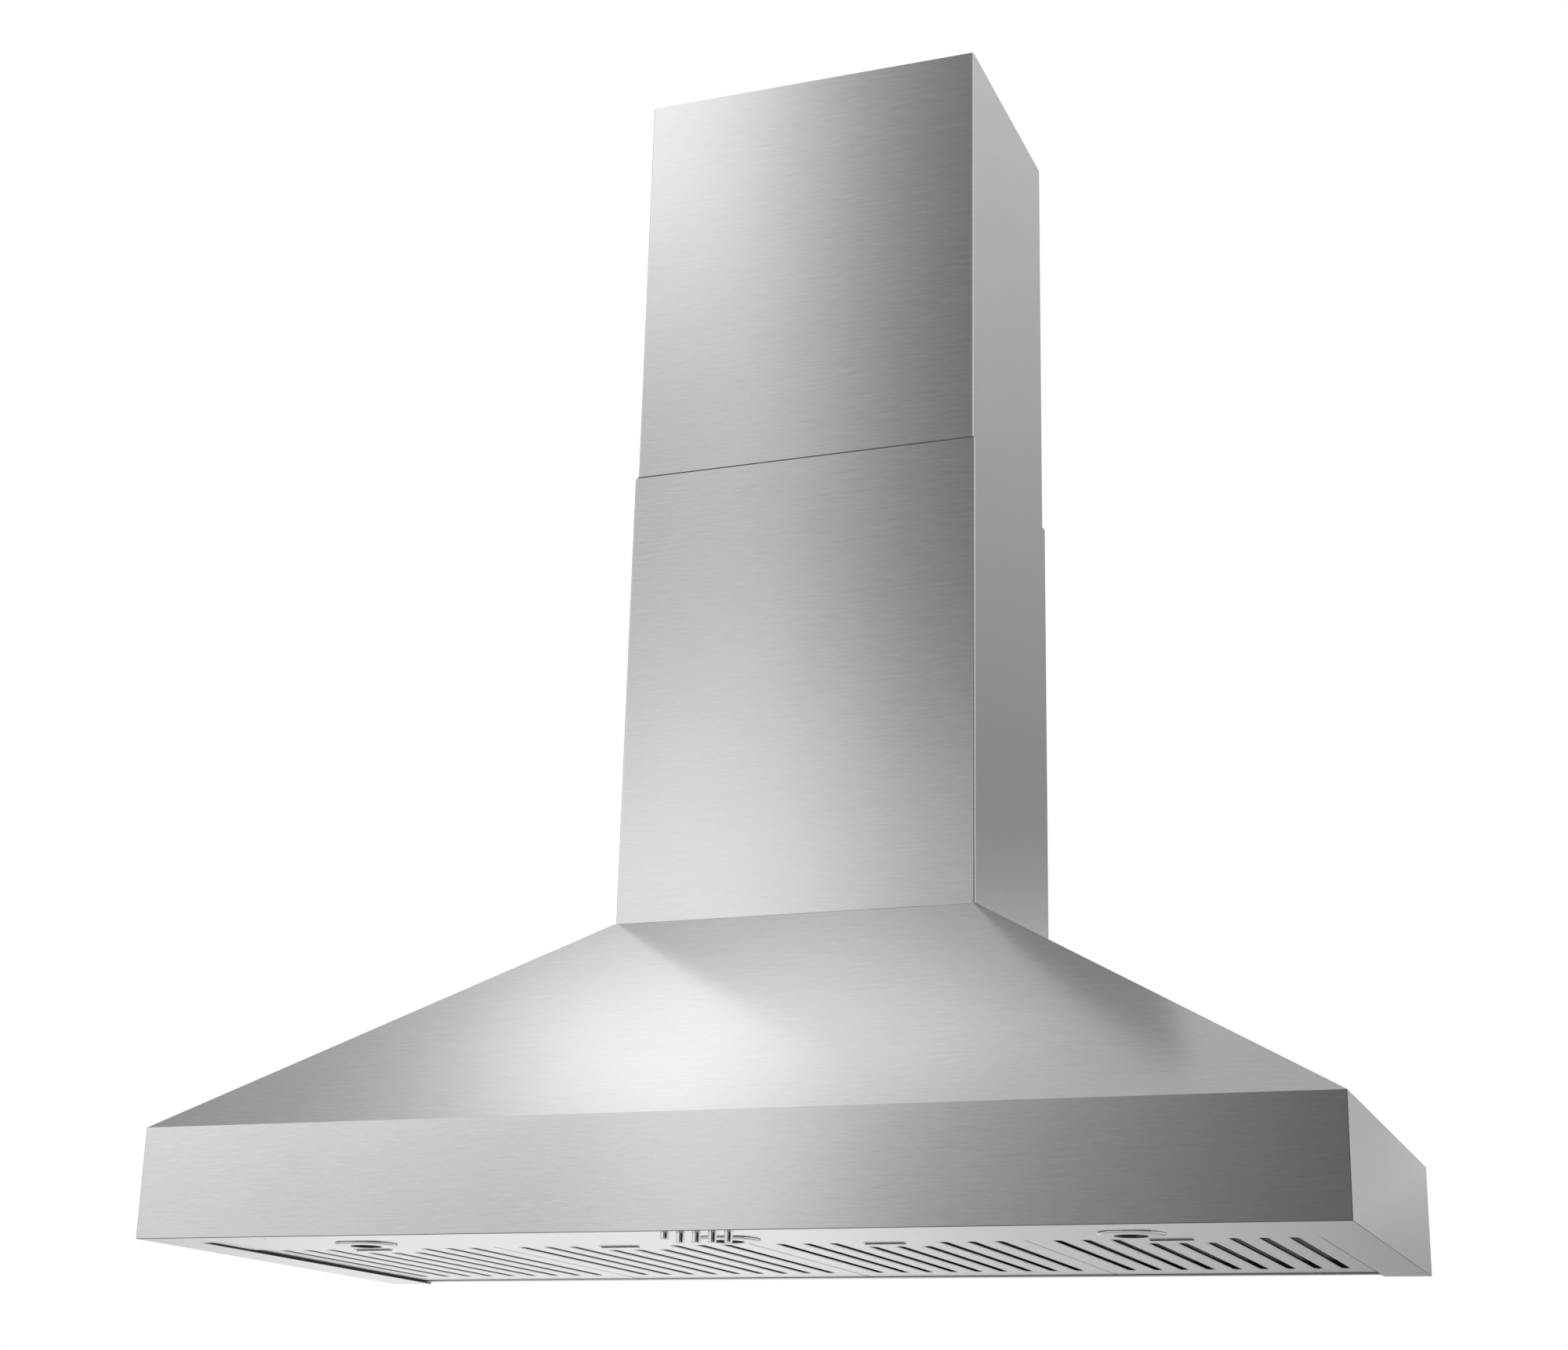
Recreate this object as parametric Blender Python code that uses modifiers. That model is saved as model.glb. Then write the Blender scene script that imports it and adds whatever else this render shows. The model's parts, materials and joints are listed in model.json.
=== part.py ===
"""Wall-hung canopy range hood with baffle filters, push buttons, blower and telescoping chimney.

Metres, +Z up. +X is the viewer's right, the front faces -Y, and the wall is the plane Y = 0.
Sizes below are measured from the underside of the canopy. The empty hood_frame lowers
everything, so that the world origin is the middle of the wall rail's rear face.
"""
import bpy
import bmesh
from math import atan2, cos, pi, radians, sin, tan
from mathutils import Matrix, Vector

# ---- overall sizes ----
WIDTH = 1.2192             # across the skirt
DEPTH = 0.5414             # wall to the front of the skirt
SKIRT_H = 0.1122           # upright band round the canopy
CANOPY_H = 0.3545          # underside to the top of the slopes
CHIMNEY_W = 0.4064         # lower chimney cover
CHIMNEY_D = 0.2974
LOWER_TOP = 0.8771         # top edge of the lower cover
OVERALL_H = 1.3606         # top edge of the upper cover
HANG_Z = 0.262             # height of the wall rail's middle

# ---- sheets and clearances ----
SHEET = 0.0012             # canopy sheet
COVER_SHEET = 0.0010       # chimney covers, trays, light panel
GAP = 0.0003               # between faces that touch
BEND_R = 0.0022            # outside radius of a cover's folded corner
BEND_STEPS = 3

# ---- canopy ----
TOP_LIP = 0.0010           # canopy top stands this far out from the cover
SIDE_FLANGE = 0.0486       # width of the turned-in bottom edges
FRONT_FLANGE = 0.0460
BACK_RECESS = 0.0100       # back panel to wall
TOP_PLATE_DROP = 0.0140    # canopy top to the underside of the top plate

# ---- light strip and lamps ----
PANEL_Z = 0.0015
PANEL_FRONT = 0.030        # from the skirt's front face
PANEL_REAR = 0.1385
PANEL_UPSTAND = 0.0125
PANEL_END = 0.008          # short of the side sheets
LAMP_SPREAD = 0.3248       # lamp pitch as a share of the width
LAMP_COUNT = 3
LAMP_Y = 0.092             # from the skirt's front face
BEZEL_R = 0.0315
BEZEL_DROP = 0.0020        # inner rim below the underside
BEZEL_BORE_R = 0.0160
BEZEL_TUBE_TOP = 0.0050
LENS_R = 0.0200
LENS_T = 0.0025
CAN_R = 0.0275
CAN_H = 0.040
CAN_CLEAR = 0.0010

# ---- filters ----
FILTER_COUNT = 4
FILTER_JOINT = 0.0008      # gap between neighbours
FILTER_PITCH = (WIDTH - 2 * SIDE_FLANGE - FILTER_JOINT) / FILTER_COUNT
FILTER_Z = 0.0024          # underside of the trays
FILTER_H = 0.0110
TRAY_SHEET = 0.0008
SLOTS = 9
SLOT_MARGIN = 0.02815      # tray's edge to its outer slots' middle lines
SLOT_PITCH = (FILTER_PITCH - FILTER_JOINT - 2 * SLOT_MARGIN) / (SLOTS - 1)
SLOT_W = 0.0106
SLOT_END_STEPS = 6
SLOT_FRONT = 0.1539        # from the skirt's front face
SLOT_FRONT_MIDDLE = 0.1922
MIDDLE_SLOTS = 3           # shorter ones, behind the finger pull
SLOT_REAR_MARGIN = 0.0640  # slots' rear ends to the wall
BAFFLE_LOW = 0.0045
BAFFLE_TOP = 0.0095
BAFFLE_HALF = 0.0095       # half width of a channel
BAFFLE_FRONT_GAP = 0.0040  # tray's end wall to the channels
BAFFLE_REAR_GAP = 0.0015
FRONT_STRIP = 0.0200       # width of the cross strips
REAR_STRIP = 0.0120
PULL_W = 0.042
PULL_Y = 0.1515            # finger pull's fold to the skirt's front face
PULL_TAB = 0.0060
PULL_LIP = (0.0012, 0.0022)
RAIL_LIP = 0.0194          # rear rail's front edge to the wall
RAIL_SHEET = 0.0010
RAIL_WEB = 0.0084          # rear rail's upright to the wall
RAIL_WEB_TOP = 0.030
FILTER_REAR = 0.0126       # filters' rear edge to the wall

# ---- push buttons ----
BUTTONS = 5
BUTTON_PITCH = 0.0162
BUTTON_R = 0.0040
BUTTON_Y = 0.0120          # from the skirt's front face
BUTTON_OUT = 0.0103        # below the underside
BUTTON_TRAVEL = 0.0037
BUTTON_LEN = 0.0243
BUTTON_EDGE = 0.0006
BUTTON_CLEAR = 0.0004
BLOCK_FRONT = 0.0030
BLOCK_REAR = 0.0230
BLOCK_TOP = 0.0300
BLOCK_END = 0.0120         # block past the outer buttons' axes

# ---- chimney ----
COVER_FLANGE = 0.0120      # turned-in rear edges
COVER_CLEAR = 0.0016       # between the covers
COVER_OVERLAP = 0.0600     # upper cover inside the lower one
BRACKET_H = 0.0300
BRACKET_DROP = 0.0150      # below the upper cover's top edge
BRACKET_ARM = 0.0600
BRACKET_SHEET = 0.0015
BRACKET_SIDE_CLEAR = 0.0004
BRACKET_REAR_CLEAR = 0.0006
BRACKET_INSET = 0.0192     # wall plate's ends inside the lower cover's width

# ---- wall rail ----
RAIL_W = 0.500
WALL_SHEET = 0.0020
WALL_RAIL_LOW = 0.246
WALL_RAIL_STEP = 0.287
WALL_RAIL_TOP = 0.306
WALL_RAIL_OUT = 0.0060
WALL_SCREW_X = (-0.200, -0.080, 0.080, 0.200)
WALL_SCREW_R = 0.0030
SCREW_HEAD_R = 0.0038
SCREW_DOME = 0.0022
HOOK_W = 0.080
HOOK_X = 0.150
HOOK_SHEET = 0.0015
HOOK_LOW = 0.262
HOOK_TIP = 0.292

# ---- blower ----
FAN_Y = -0.1955
FAN_DROP = 0.1895          # fan's axis below the top of the slopes
FAN_HALF = 0.085           # housing half width along X
SCROLL_R0 = 0.098
SCROLL_R1 = 0.140
SCROLL_STEPS = 24
SCROLL_TURN = 240.0
INLET_R = 0.070
INLET_LIP = 0.0010
INLET_FLANGE = 0.0140
INLET_DEPTH = 0.0100
NECK_FLANGE = 0.012
WHEEL_R = 0.086
WHEEL_BORE_R = 0.064
WHEEL_HALF = 0.075
WHEEL_RIM = 0.002
BLADES = 24
BLADE_T = 0.0015
BLADE_TILT = 30.0
DISC_HALF = 0.0010
DISC_SHORT = 0.0005        # disc's edge inside the blades' tips
BLADE_CHORD = 0.90         # share of the rim's width
HUB_R = 0.012
HUB_HALF = 0.008
SHAFT_R = 0.004
SHAFT_PAST_HUB = 0.006
MOTOR_R = 0.050
MOTOR_SOFT = 0.006
MOTOR_NOSE = 0.010         # motor's inner end to the wheel's middle
MOTOR_LEN = 0.090
ARMS = 3
ARM_W = 0.014
ARM_ROOT = 0.005           # arms start this far out from the motor
ARM_REACH = 0.084
ARM_FACES = (-0.0018, -0.0002)
CLAMP_W = 0.008
CLAMP_T = 0.002
COLLAR_Y = -0.150
COLLAR_R = 0.1015
COLLAR_FLANGE = 0.0165
COLLAR_UP = 0.070          # above the canopy top
OUTLET_STEP = 0.002        # collar's radius less the hole's below it
DAMPER_UP = 0.025
DAMPER_PIN_R = 0.0015
PIN_CLEAR = 0.0004
PIN_PAST = 0.002
KNUCKLE_R = 0.0028
FLAP_R = COLLAR_R - 0.0030
FLAP_T = 0.0008
FLAP_EDGE = 0.0034         # flap's straight edge to the pin's axis
KNUCKLE_LEN = 0.020
TAB_T = 0.00064
TAB_SHORT = 0.001          # tab's ends inside the knuckle's
TAB_INTO_FLAP = 0.002
TAB_INTO_KNUCKLE = 0.00224
FRONT_KNUCKLES = (-0.060, 0.040)
REAR_KNUCKLES = (-0.030, 0.070)

# ---- electrics ----
BOX_SIZE = (0.120, 0.046, 0.080)
BOX_X = 0.310
BOX_Z = 0.060
CAPACITOR_R = 0.019
CAPACITOR_H = 0.062
CAPACITOR_SOFT = 0.002
CAPACITOR_X = -0.150
GROMMET_X = 0.150
SERVICE_Y = -0.050
GROMMET_HOLE_R = 0.010
GROMMET_R = 0.013
GROMMET_FLANGE = 0.0025
CABLE_R = 0.006

FRONT = -DEPTH
PAST = 0.010               # how far a cutter runs past what it cuts
ROUND_STEPS = 24           # facets round small round parts
WHEEL_STEPS = 36           # and round the wheel, collar and flaps
PIN_STEPS = 12

# finish: colour, roughness, metallic
STAINLESS = ((0.62, 0.62, 0.60), 0.30, 1.0)
SATIN = ((0.66, 0.66, 0.66), 0.36, 1.0)
CHROME = ((0.75, 0.75, 0.76), 0.08, 1.0)
GALVANISED = ((0.50, 0.52, 0.53), 0.45, 1.0)
ALUMINIUM = ((0.70, 0.70, 0.71), 0.35, 1.0)
ENAMEL = ((0.05, 0.05, 0.055), 0.45, 0.0)
PLASTIC = ((0.03, 0.03, 0.03), 0.50, 0.0)
RUBBER = ((0.02, 0.02, 0.02), 0.80, 0.0)
GLASS = ((0.90, 0.92, 0.93), 0.10, 0.0)


def start_scene():
    """Empty scene, the hood's collection, the cutters' collection and the parent empty."""
    for old in list(bpy.data.objects):
        bpy.data.objects.remove(old)
    scene = bpy.context.scene.collection
    hood = bpy.data.collections.new("range_hood")
    cutters = bpy.data.collections.new("cutters")
    scene.children.link(hood)
    scene.children.link(cutters)
    frame = bpy.data.objects.new("hood_frame", None)
    frame.location = (0, 0, -HANG_Z)
    hood.objects.link(frame)
    return hood, cutters, frame


HOOD, CUTTERS, FRAME = start_scene()


# ---- general shapes ----
def place(name, bm, location=(0, 0, 0), rotation=(0, 0, 0), finish=None, smooth=False,
          closed=True):
    """An object from a bmesh; without a finish it is a cutter."""
    if closed:
        bmesh.ops.recalc_face_normals(bm, faces=bm.faces)
    mesh = bpy.data.meshes.new(name)
    bm.to_mesh(mesh)
    bm.free()
    obj = bpy.data.objects.new(name, mesh)
    obj.location = location
    obj.rotation_euler = rotation
    obj.parent = FRAME
    if finish is None:
        CUTTERS.objects.link(obj)
        obj.hide_render = True
        obj.display_type = "WIRE"
        return obj
    HOOD.objects.link(obj)
    paint(obj, finish)
    if smooth:
        mesh.shade_smooth()
        mesh.set_sharp_from_angle(angle=radians(35))
    return obj


def paint(obj, finish):
    colour, roughness, metallic = finish
    material = bpy.data.materials.new(obj.name)
    material.use_nodes = True
    shader = material.node_tree.nodes["Principled BSDF"]
    shader.inputs["Base Color"].default_value = (*colour, 1)
    shader.inputs["Roughness"].default_value = roughness
    shader.inputs["Metallic"].default_value = metallic
    obj.data.materials.append(material)


def combine(obj, other, operation):
    step = obj.modifiers.new(other.name, "BOOLEAN")
    step.operation = operation
    step.solver = "EXACT"
    step.object = other


def cut(obj, other):
    combine(obj, other, "DIFFERENCE")


def add(obj, other):
    combine(obj, other, "UNION")


def cube(bm, low, high, turn=None):
    """A box between two corners, added to a bmesh, optionally turned by a matrix."""
    low, high = Vector(low), Vector(high)
    size = high - low
    matrix = Matrix.Translation((low + high) / 2) @ Matrix.Diagonal((*size, 1))
    if turn:
        matrix = turn @ matrix
    bmesh.ops.create_cube(bm, size=1, matrix=matrix)


def box(name, low, high, finish=None):
    """A box between two corners, with its origin at its middle."""
    low, high = Vector(low), Vector(high)
    half = (high - low) / 2
    bm = bmesh.new()
    cube(bm, -half, half)
    return place(name, bm, (low + high) / 2, finish=finish)


def rod(bm, radius, low, high, axis="Z", centre=(0, 0, 0), steps=32):
    """A closed cylinder from low to high along an axis through centre, added to a bmesh."""
    turn = {"X": Matrix.Rotation(pi / 2, 4, "Y"), "Y": Matrix.Rotation(-pi / 2, 4, "X"),
            "Z": Matrix.Identity(4)}[axis]
    slide = Matrix.Translation((0, 0, (low + high) / 2))
    bmesh.ops.create_cone(bm, cap_ends=True, segments=steps, radius1=radius, radius2=radius,
                          depth=high - low, matrix=Matrix.Translation(centre) @ turn @ slide)


def cylinder(name, radius, low, high, axis="Z", centre=(0, 0, 0), steps=32, finish=None):
    bm = bmesh.new()
    rod(bm, radius, low, high, axis, (0, 0, 0), steps)
    return place(name, bm, centre, finish=finish, smooth=finish is not None)


def rounded_path(points, radius, steps=BEND_STEPS):
    """An open path with each inner corner replaced by an arc."""
    out = [Vector(points[0])]
    for before, corner, after in zip(points, points[1:], points[2:]):
        before, corner, after = Vector(before), Vector(corner), Vector(after)
        a, b = (before - corner).normalized(), (after - corner).normalized()
        half = a.angle(b) / 2
        centre = corner + (a + b).normalized() * radius / sin(half)
        first, last = corner + a * radius / tan(half), corner + b * radius / tan(half)
        for i in range(steps + 1):
            spoke = (first - centre).slerp(last - centre, i / steps).normalized()
            out.append(centre + spoke * radius)
    out.append(Vector(points[-1]))
    return out


def bent_sheet(name, path, axis, low, high, thickness, side, finish):
    """A folded sheet: a path of (u, v) drawn out along X or Z, then thickened.

    Along X the path is (y, z), along Z it is (x, y). The sheet lies on the side of the path
    that (path direction) x (axis) points to where side is 1, on the other where it is -1,
    and on both where it is 0.
    """
    spots = {"X": lambda w, u, v: (w, u, v), "Z": lambda w, u, v: (u, v, w)}[axis]
    middle = (low + high) / 2
    bm = bmesh.new()
    near = [bm.verts.new(spots(low - middle, *p)) for p in path]
    far = [bm.verts.new(spots(high - middle, *p)) for p in path]
    for i in range(len(path) - 1):
        bm.faces.new((near[i], near[i + 1], far[i + 1], far[i]))
    obj = place(name, bm, spots(middle, 0, 0), finish=finish, closed=False)
    sheet = obj.modifiers.new("sheet", "SOLIDIFY")
    sheet.thickness = thickness
    sheet.offset = side
    sheet.use_even_offset = True
    return obj


def draw_out(bm, face, reach):
    """A face drawn out into a closed solid."""
    drawn = bmesh.ops.extrude_face_region(bm, geom=[face])
    moved = [v for v in drawn["geom"] if isinstance(v, bmesh.types.BMVert)]
    bmesh.ops.translate(bm, verts=moved, vec=Vector(reach))


def prism(name, outline, axis, low, high, finish=None):
    """A closed outline drawn out along X (outline in y, z) or Y (outline in x, z)."""
    spots = {"X": lambda w, u, v: (w, u, v), "Y": lambda w, u, v: (u, w, v)}[axis]
    bm = bmesh.new()
    face = bm.faces.new([bm.verts.new(spots(low, *p)) for p in outline])
    draw_out(bm, face, spots(high - low, 0, 0))
    return place(name, bm, finish=finish)


def turned(name, profile, location, finish, rotation=(0, 0, 0), closed=True, steps=ROUND_STEPS):
    """A profile of (radius, height), running down its outer side, turned about local Z."""
    mesh = bpy.data.meshes.new(name)
    count = len(profile)
    edges = [(i, i + 1) for i in range(count - 1)]
    if closed:
        edges.append((count - 1, 0))
    mesh.from_pydata([(r, 0, z) for r, z in profile], edges, [])
    obj = bpy.data.objects.new(name, mesh)
    obj.location = location
    obj.rotation_euler = rotation
    obj.parent = FRAME
    HOOD.objects.link(obj)
    paint(obj, finish)
    spin = obj.modifiers.new("turn", "SCREW")
    spin.angle = 2 * pi
    spin.steps = steps
    spin.render_steps = steps
    spin.use_merge_vertices = True
    spin.merge_threshold = 0.00001
    spin.use_smooth_shade = True
    return obj


def loft(name, sections, finish=None):
    """A closed solid through level rectangles (half width, front y, rear y, z), bottom to top."""
    bm = bmesh.new()
    rings = []
    for half, front, rear, z in sections:
        corners = ((-half, front), (half, front), (half, rear), (-half, rear))
        rings.append([bm.verts.new((x, y, z)) for x, y in corners])
    bm.faces.new(rings[0])
    bm.faces.new(rings[-1])
    for low, high in zip(rings, rings[1:]):
        for i in range(4):
            bm.faces.new((low[i], low[i - 1], high[i - 1], high[i]))
    return place(name, bm, finish=finish)


# ---- the canopy's slopes ----
TOP_HALF = CHIMNEY_W / 2 + TOP_LIP
TOP_FRONT = -(CHIMNEY_D + TOP_LIP)
RISE = CANOPY_H - SKIRT_H
SIDE_SLOPE = atan2(RISE, WIDTH / 2 - TOP_HALF)
FRONT_SLOPE = atan2(RISE, DEPTH + TOP_FRONT)
INNER_BREAK = SKIRT_H - SHEET / 2
FAN_Z = CANOPY_H - FAN_DROP


def inner_half(z):
    """Half width between the side sheets' inner faces at a height."""
    low, high = WIDTH / 2 - SHEET, TOP_HALF - SHEET / sin(SIDE_SLOPE)
    share = max(0.0, (z - INNER_BREAK) / (CANOPY_H - INNER_BREAK))
    return low + (high - low) * share


def inner_front(z):
    """The front sheet's inner face at a height."""
    low, high = FRONT + SHEET, TOP_FRONT + SHEET / sin(FRONT_SLOPE)
    share = max(0.0, (z - INNER_BREAK) / (CANOPY_H - INNER_BREAK))
    return low + (high - low) * share


def button_x(index):
    return (index - (BUTTONS - 1) / 2) * BUTTON_PITCH


def lamp_x(index):
    return (index - (LAMP_COUNT - 1) / 2) * WIDTH * LAMP_SPREAD


def corner_region(name, side):
    """The upright wedge beyond a front corner's mitre plane: what a side panel keeps.

    The plane runs up the skirt's corner and along the slopes' hip.
    """
    corner = Vector((side * WIDTH / 2, FRONT))
    inward = (Vector((side * TOP_HALF, TOP_FRONT)) - corner).normalized()
    apart = Vector((inward.y, -inward.x)) * side * GAP / 2
    near, far = corner - inward * PAST + apart, corner + inward * WIDTH / 2 + apart
    wide = side * (WIDTH / 2 + PAST)
    outline = [near, far, Vector((far.x, PAST)), Vector((wide, PAST)), Vector((wide, near.y))]
    bm = bmesh.new()
    face = bm.faces.new([bm.verts.new((*spot, -PAST)) for spot in outline])
    draw_out(bm, face, (0, 0, CANOPY_H + 2 * PAST))
    return place(name, bm)


def middle_region(name):
    """The upright wedge between both mitre planes: what the front panel keeps."""
    bm = bmesh.new()
    outline = []
    for side in (-1, 1):
        corner = Vector((side * WIDTH / 2, FRONT))
        inward = (Vector((side * TOP_HALF, TOP_FRONT)) - corner).normalized()
        apart = Vector((inward.y, -inward.x)) * side * -GAP / 2
        ends = [corner + inward * (WIDTH / 3) + apart, corner - inward * PAST + apart]
        outline += ends if side < 0 else reversed(ends)
    face = bm.faces.new([bm.verts.new((*spot, -PAST)) for spot in outline])
    draw_out(bm, face, (0, 0, CANOPY_H + 2 * PAST))
    return place(name, bm)


def canopy_panel(name, region):
    """One of the canopy's three folded sheets: bottom flange, skirt and slope."""
    panel = loft(name, [(WIDTH / 2, FRONT, 0, 0), (WIDTH / 2, FRONT, 0, SKIRT_H),
                        (TOP_HALF, TOP_FRONT, 0, CANOPY_H)], STAINLESS)
    hollow = [(inner_half(z), inner_front(z), PAST, z) for z in (SHEET, INNER_BREAK, CANOPY_H)]
    hollow.append((inner_half(CANOPY_H), inner_front(CANOPY_H), PAST, CANOPY_H + PAST))
    cut(panel, loft(f"{name}_hollow", hollow))
    mouth_half = WIDTH / 2 - SIDE_FLANGE
    cut(panel, box(f"{name}_mouth", (-mouth_half, FRONT + FRONT_FLANGE, -PAST),
                   (mouth_half, PAST, SHEET + PAST)))
    combine(panel, region, "INTERSECT")
    return panel


def canopy():
    canopy_panel("canopy_left", corner_region("left_region", -1))
    canopy_panel("canopy_right", corner_region("right_region", 1))
    front = canopy_panel("canopy_front", middle_region("front_region"))
    bm = bmesh.new()
    for i in range(BUTTONS):
        spot = (button_x(i), FRONT + BUTTON_Y, 0)
        rod(bm, BUTTON_R + BUTTON_CLEAR, -PAST, SHEET + PAST, "Z", spot, ROUND_STEPS)
    cut(front, place("button_holes", bm))


def back_panel():
    top = CANOPY_H - TOP_PLATE_DROP - GAP
    side = GAP * 2
    low = FILTER_Z + GAP
    half = [(inner_half(z) - side, z) for z in (low, INNER_BREAK - side, top)]
    outline = [(x, z) for x, z in half] + [(-x, z) for x, z in reversed(half)]
    prism("back_panel", outline, "Y", -BACK_RECESS - SHEET, -BACK_RECESS, GALVANISED)


def top_plate():
    z = CANOPY_H - TOP_PLATE_DROP
    half = inner_half(z + SHEET) - 2 * GAP
    front = inner_front(z + SHEET) + 2 * GAP
    plate = box("top_plate", (-half, front, z), (half, -GAP, z + SHEET), GALVANISED)
    low, high = z - PAST, z + SHEET + PAST
    cut(plate, cylinder("outlet_hole", COLLAR_R - OUTLET_STEP, low, high, "Z",
                        (0, COLLAR_Y, 0), WHEEL_STEPS))
    cut(plate, cylinder("grommet_hole", GROMMET_HOLE_R, low, high, "Z",
                        (GROMMET_X, SERVICE_Y, 0), ROUND_STEPS))


def light_strip():
    half = WIDTH / 2 - SHEET - PANEL_END
    path = [(FRONT + PANEL_FRONT, PANEL_Z), (FRONT + PANEL_REAR, PANEL_Z),
            (FRONT + PANEL_REAR, PANEL_Z + PANEL_UPSTAND)]
    panel = bent_sheet("light_panel", path, "X", -half, half, COVER_SHEET, -1, SATIN)
    bm = bmesh.new()
    for i in range(LAMP_COUNT):
        rod(bm, CAN_R + CAN_CLEAR, -PAST, PANEL_Z + PAST, "Z", (lamp_x(i), FRONT + LAMP_Y, 0))
    cut(panel, place("lamp_holes", bm))


def lamp(number, x):
    """Dished bezel under the panel, glass disc above its bore, and the can that holds both."""
    spot = (x, FRONT + LAMP_Y, 0)
    rim, bore = BEZEL_R, BEZEL_BORE_R
    top = PANEL_Z - GAP
    edge, dish, lip, wall = 0.0008, 0.0018, 0.0010, 0.0012
    turned(f"lamp_bezel_{number}", [
        (rim, top), (rim, top - edge), (rim - 3 * lip, top - dish), (bore + 4 * lip, -BEZEL_DROP),
        (bore + lip, -BEZEL_DROP), (bore, -BEZEL_DROP + lip), (bore, BEZEL_TUBE_TOP),
        (bore + wall, BEZEL_TUBE_TOP), (bore + wall, -wall / 3), (rim - 4 * lip, top)], spot, CHROME)
    lens = BEZEL_TUBE_TOP + GAP
    turned(f"lamp_lens_{number}", [(0, lens + LENS_T), (LENS_R, lens + LENS_T), (LENS_R, lens),
                                   (0, lens)], spot, GLASS, closed=False)
    low, high, inner = PANEL_Z + GAP, PANEL_Z + CAN_H, CAN_R - COVER_SHEET
    turned(f"lamp_can_{number}", [(0, high), (CAN_R, high), (CAN_R, low), (inner, low),
                                  (inner, high - COVER_SHEET), (0, high - COVER_SHEET)],
           spot, ALUMINIUM, closed=False)


def rear_rail():
    half = WIDTH / 2 - SIDE_FLANGE - GAP
    low = FILTER_Z - GAP - RAIL_SHEET
    path = [(-RAIL_LIP, low), (-RAIL_WEB, low), (-RAIL_WEB, RAIL_WEB_TOP)]
    bent_sheet("rear_rail", path, "X", -half, half, RAIL_SHEET, -1, SATIN)


def slot_cutter(name, origin_y, x):
    """Nine round-ended slots through a tray, the middle ones shorter."""
    bm = bmesh.new()
    radius = SLOT_W / 2
    first_middle = (SLOTS - MIDDLE_SLOTS) // 2
    for i in range(SLOTS):
        middle = first_middle <= i < first_middle + MIDDLE_SLOTS
        front = (SLOT_FRONT_MIDDLE if middle else SLOT_FRONT) + FRONT - origin_y
        rear = -SLOT_REAR_MARGIN - origin_y
        centre = (i - (SLOTS - 1) / 2) * SLOT_PITCH
        ring = []
        for end, start_angle in ((front + radius, pi), (rear - radius, 0)):
            for k in range(SLOT_END_STEPS + 1):
                angle = start_angle + pi * k / SLOT_END_STEPS
                spot = (centre + radius * cos(angle), end + radius * sin(angle), -PAST)
                ring.append(bm.verts.new(spot))
        draw_out(bm, bm.faces.new(ring), (0, 0, PAST + TRAY_SHEET * 3))
    return place(name, bm, (x, origin_y, FILTER_Z))


def filter_unit(number):
    """Slotted tray, the baffles over its slots, and a finger pull; all turn about the rail's lip."""
    x = (number - (FILTER_COUNT + 1) / 2) * FILTER_PITCH
    half = (FILTER_PITCH - FILTER_JOINT) / 2
    front = FRONT + PANEL_REAR + FILTER_JOINT + RAIL_LIP
    rear = RAIL_LIP - FILTER_REAR
    hinge = (x, -RAIL_LIP, FILTER_Z)
    bm = bmesh.new()
    cube(bm, (-half, front, 0), (half, rear, FILTER_H))
    tray = place(f"filter_{number}_tray", bm, hinge, finish=SATIN)
    bm = bmesh.new()
    wall = TRAY_SHEET
    cube(bm, (-half + wall, front + wall, wall), (half - wall, rear - wall, FILTER_H + PAST))
    cut(tray, place(f"filter_{number}_hollow", bm, hinge))
    cut(tray, slot_cutter(f"filter_{number}_slots", -RAIL_LIP, x))
    baffles(number, hinge, front + wall + GAP, rear - wall - GAP, half - wall - GAP)
    finger_pull(number, x)


def baffles(number, hinge, front, rear, half):
    """Inverted channels over the slots, tied by two cross strips."""
    low, top, leg, wall = BAFFLE_LOW, BAFFLE_TOP, BAFFLE_HALF, TRAY_SHEET
    section = [(-leg, low), (-leg, top), (leg, top), (leg, low), (leg - wall, low),
               (leg - wall, top - wall), (wall - leg, top - wall), (wall - leg, low)]
    start = front + BAFFLE_FRONT_GAP
    length = rear - BAFFLE_REAR_GAP - start
    bm = bmesh.new()
    for i in range(SLOTS):
        centre = (i - (SLOTS - 1) / 2) * SLOT_PITCH
        face = bm.faces.new([bm.verts.new((centre + x, start, z)) for x, z in section])
        draw_out(bm, face, (0, length, 0))
    channels = place(f"filter_{number}_channels", bm, hinge)
    strip_low, strip_high = top - wall / 2, top + wall / 2
    bm = bmesh.new()
    cube(bm, (-half, front, strip_low), (half, front + FRONT_STRIP, strip_high))
    frame = place(f"filter_{number}_baffles", bm, hinge, finish=SATIN)
    add(frame, channels)
    bm = bmesh.new()
    cube(bm, (-half, rear - REAR_STRIP, strip_low), (half, rear, strip_high))
    add(frame, place(f"filter_{number}_rear_strip", bm, hinge))


def finger_pull(number, x):
    """A small folded lip under the tray's front margin."""
    y = FRONT + PULL_Y
    top = FILTER_Z - GAP
    path = [(y - PULL_TAB, top), (y, top), (y + PULL_LIP[0], top - PULL_LIP[1])]
    bent_sheet(f"filter_{number}_pull", path, "X", x - PULL_W / 2, x + PULL_W / 2, TRAY_SHEET, 1,
               STAINLESS)


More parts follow.
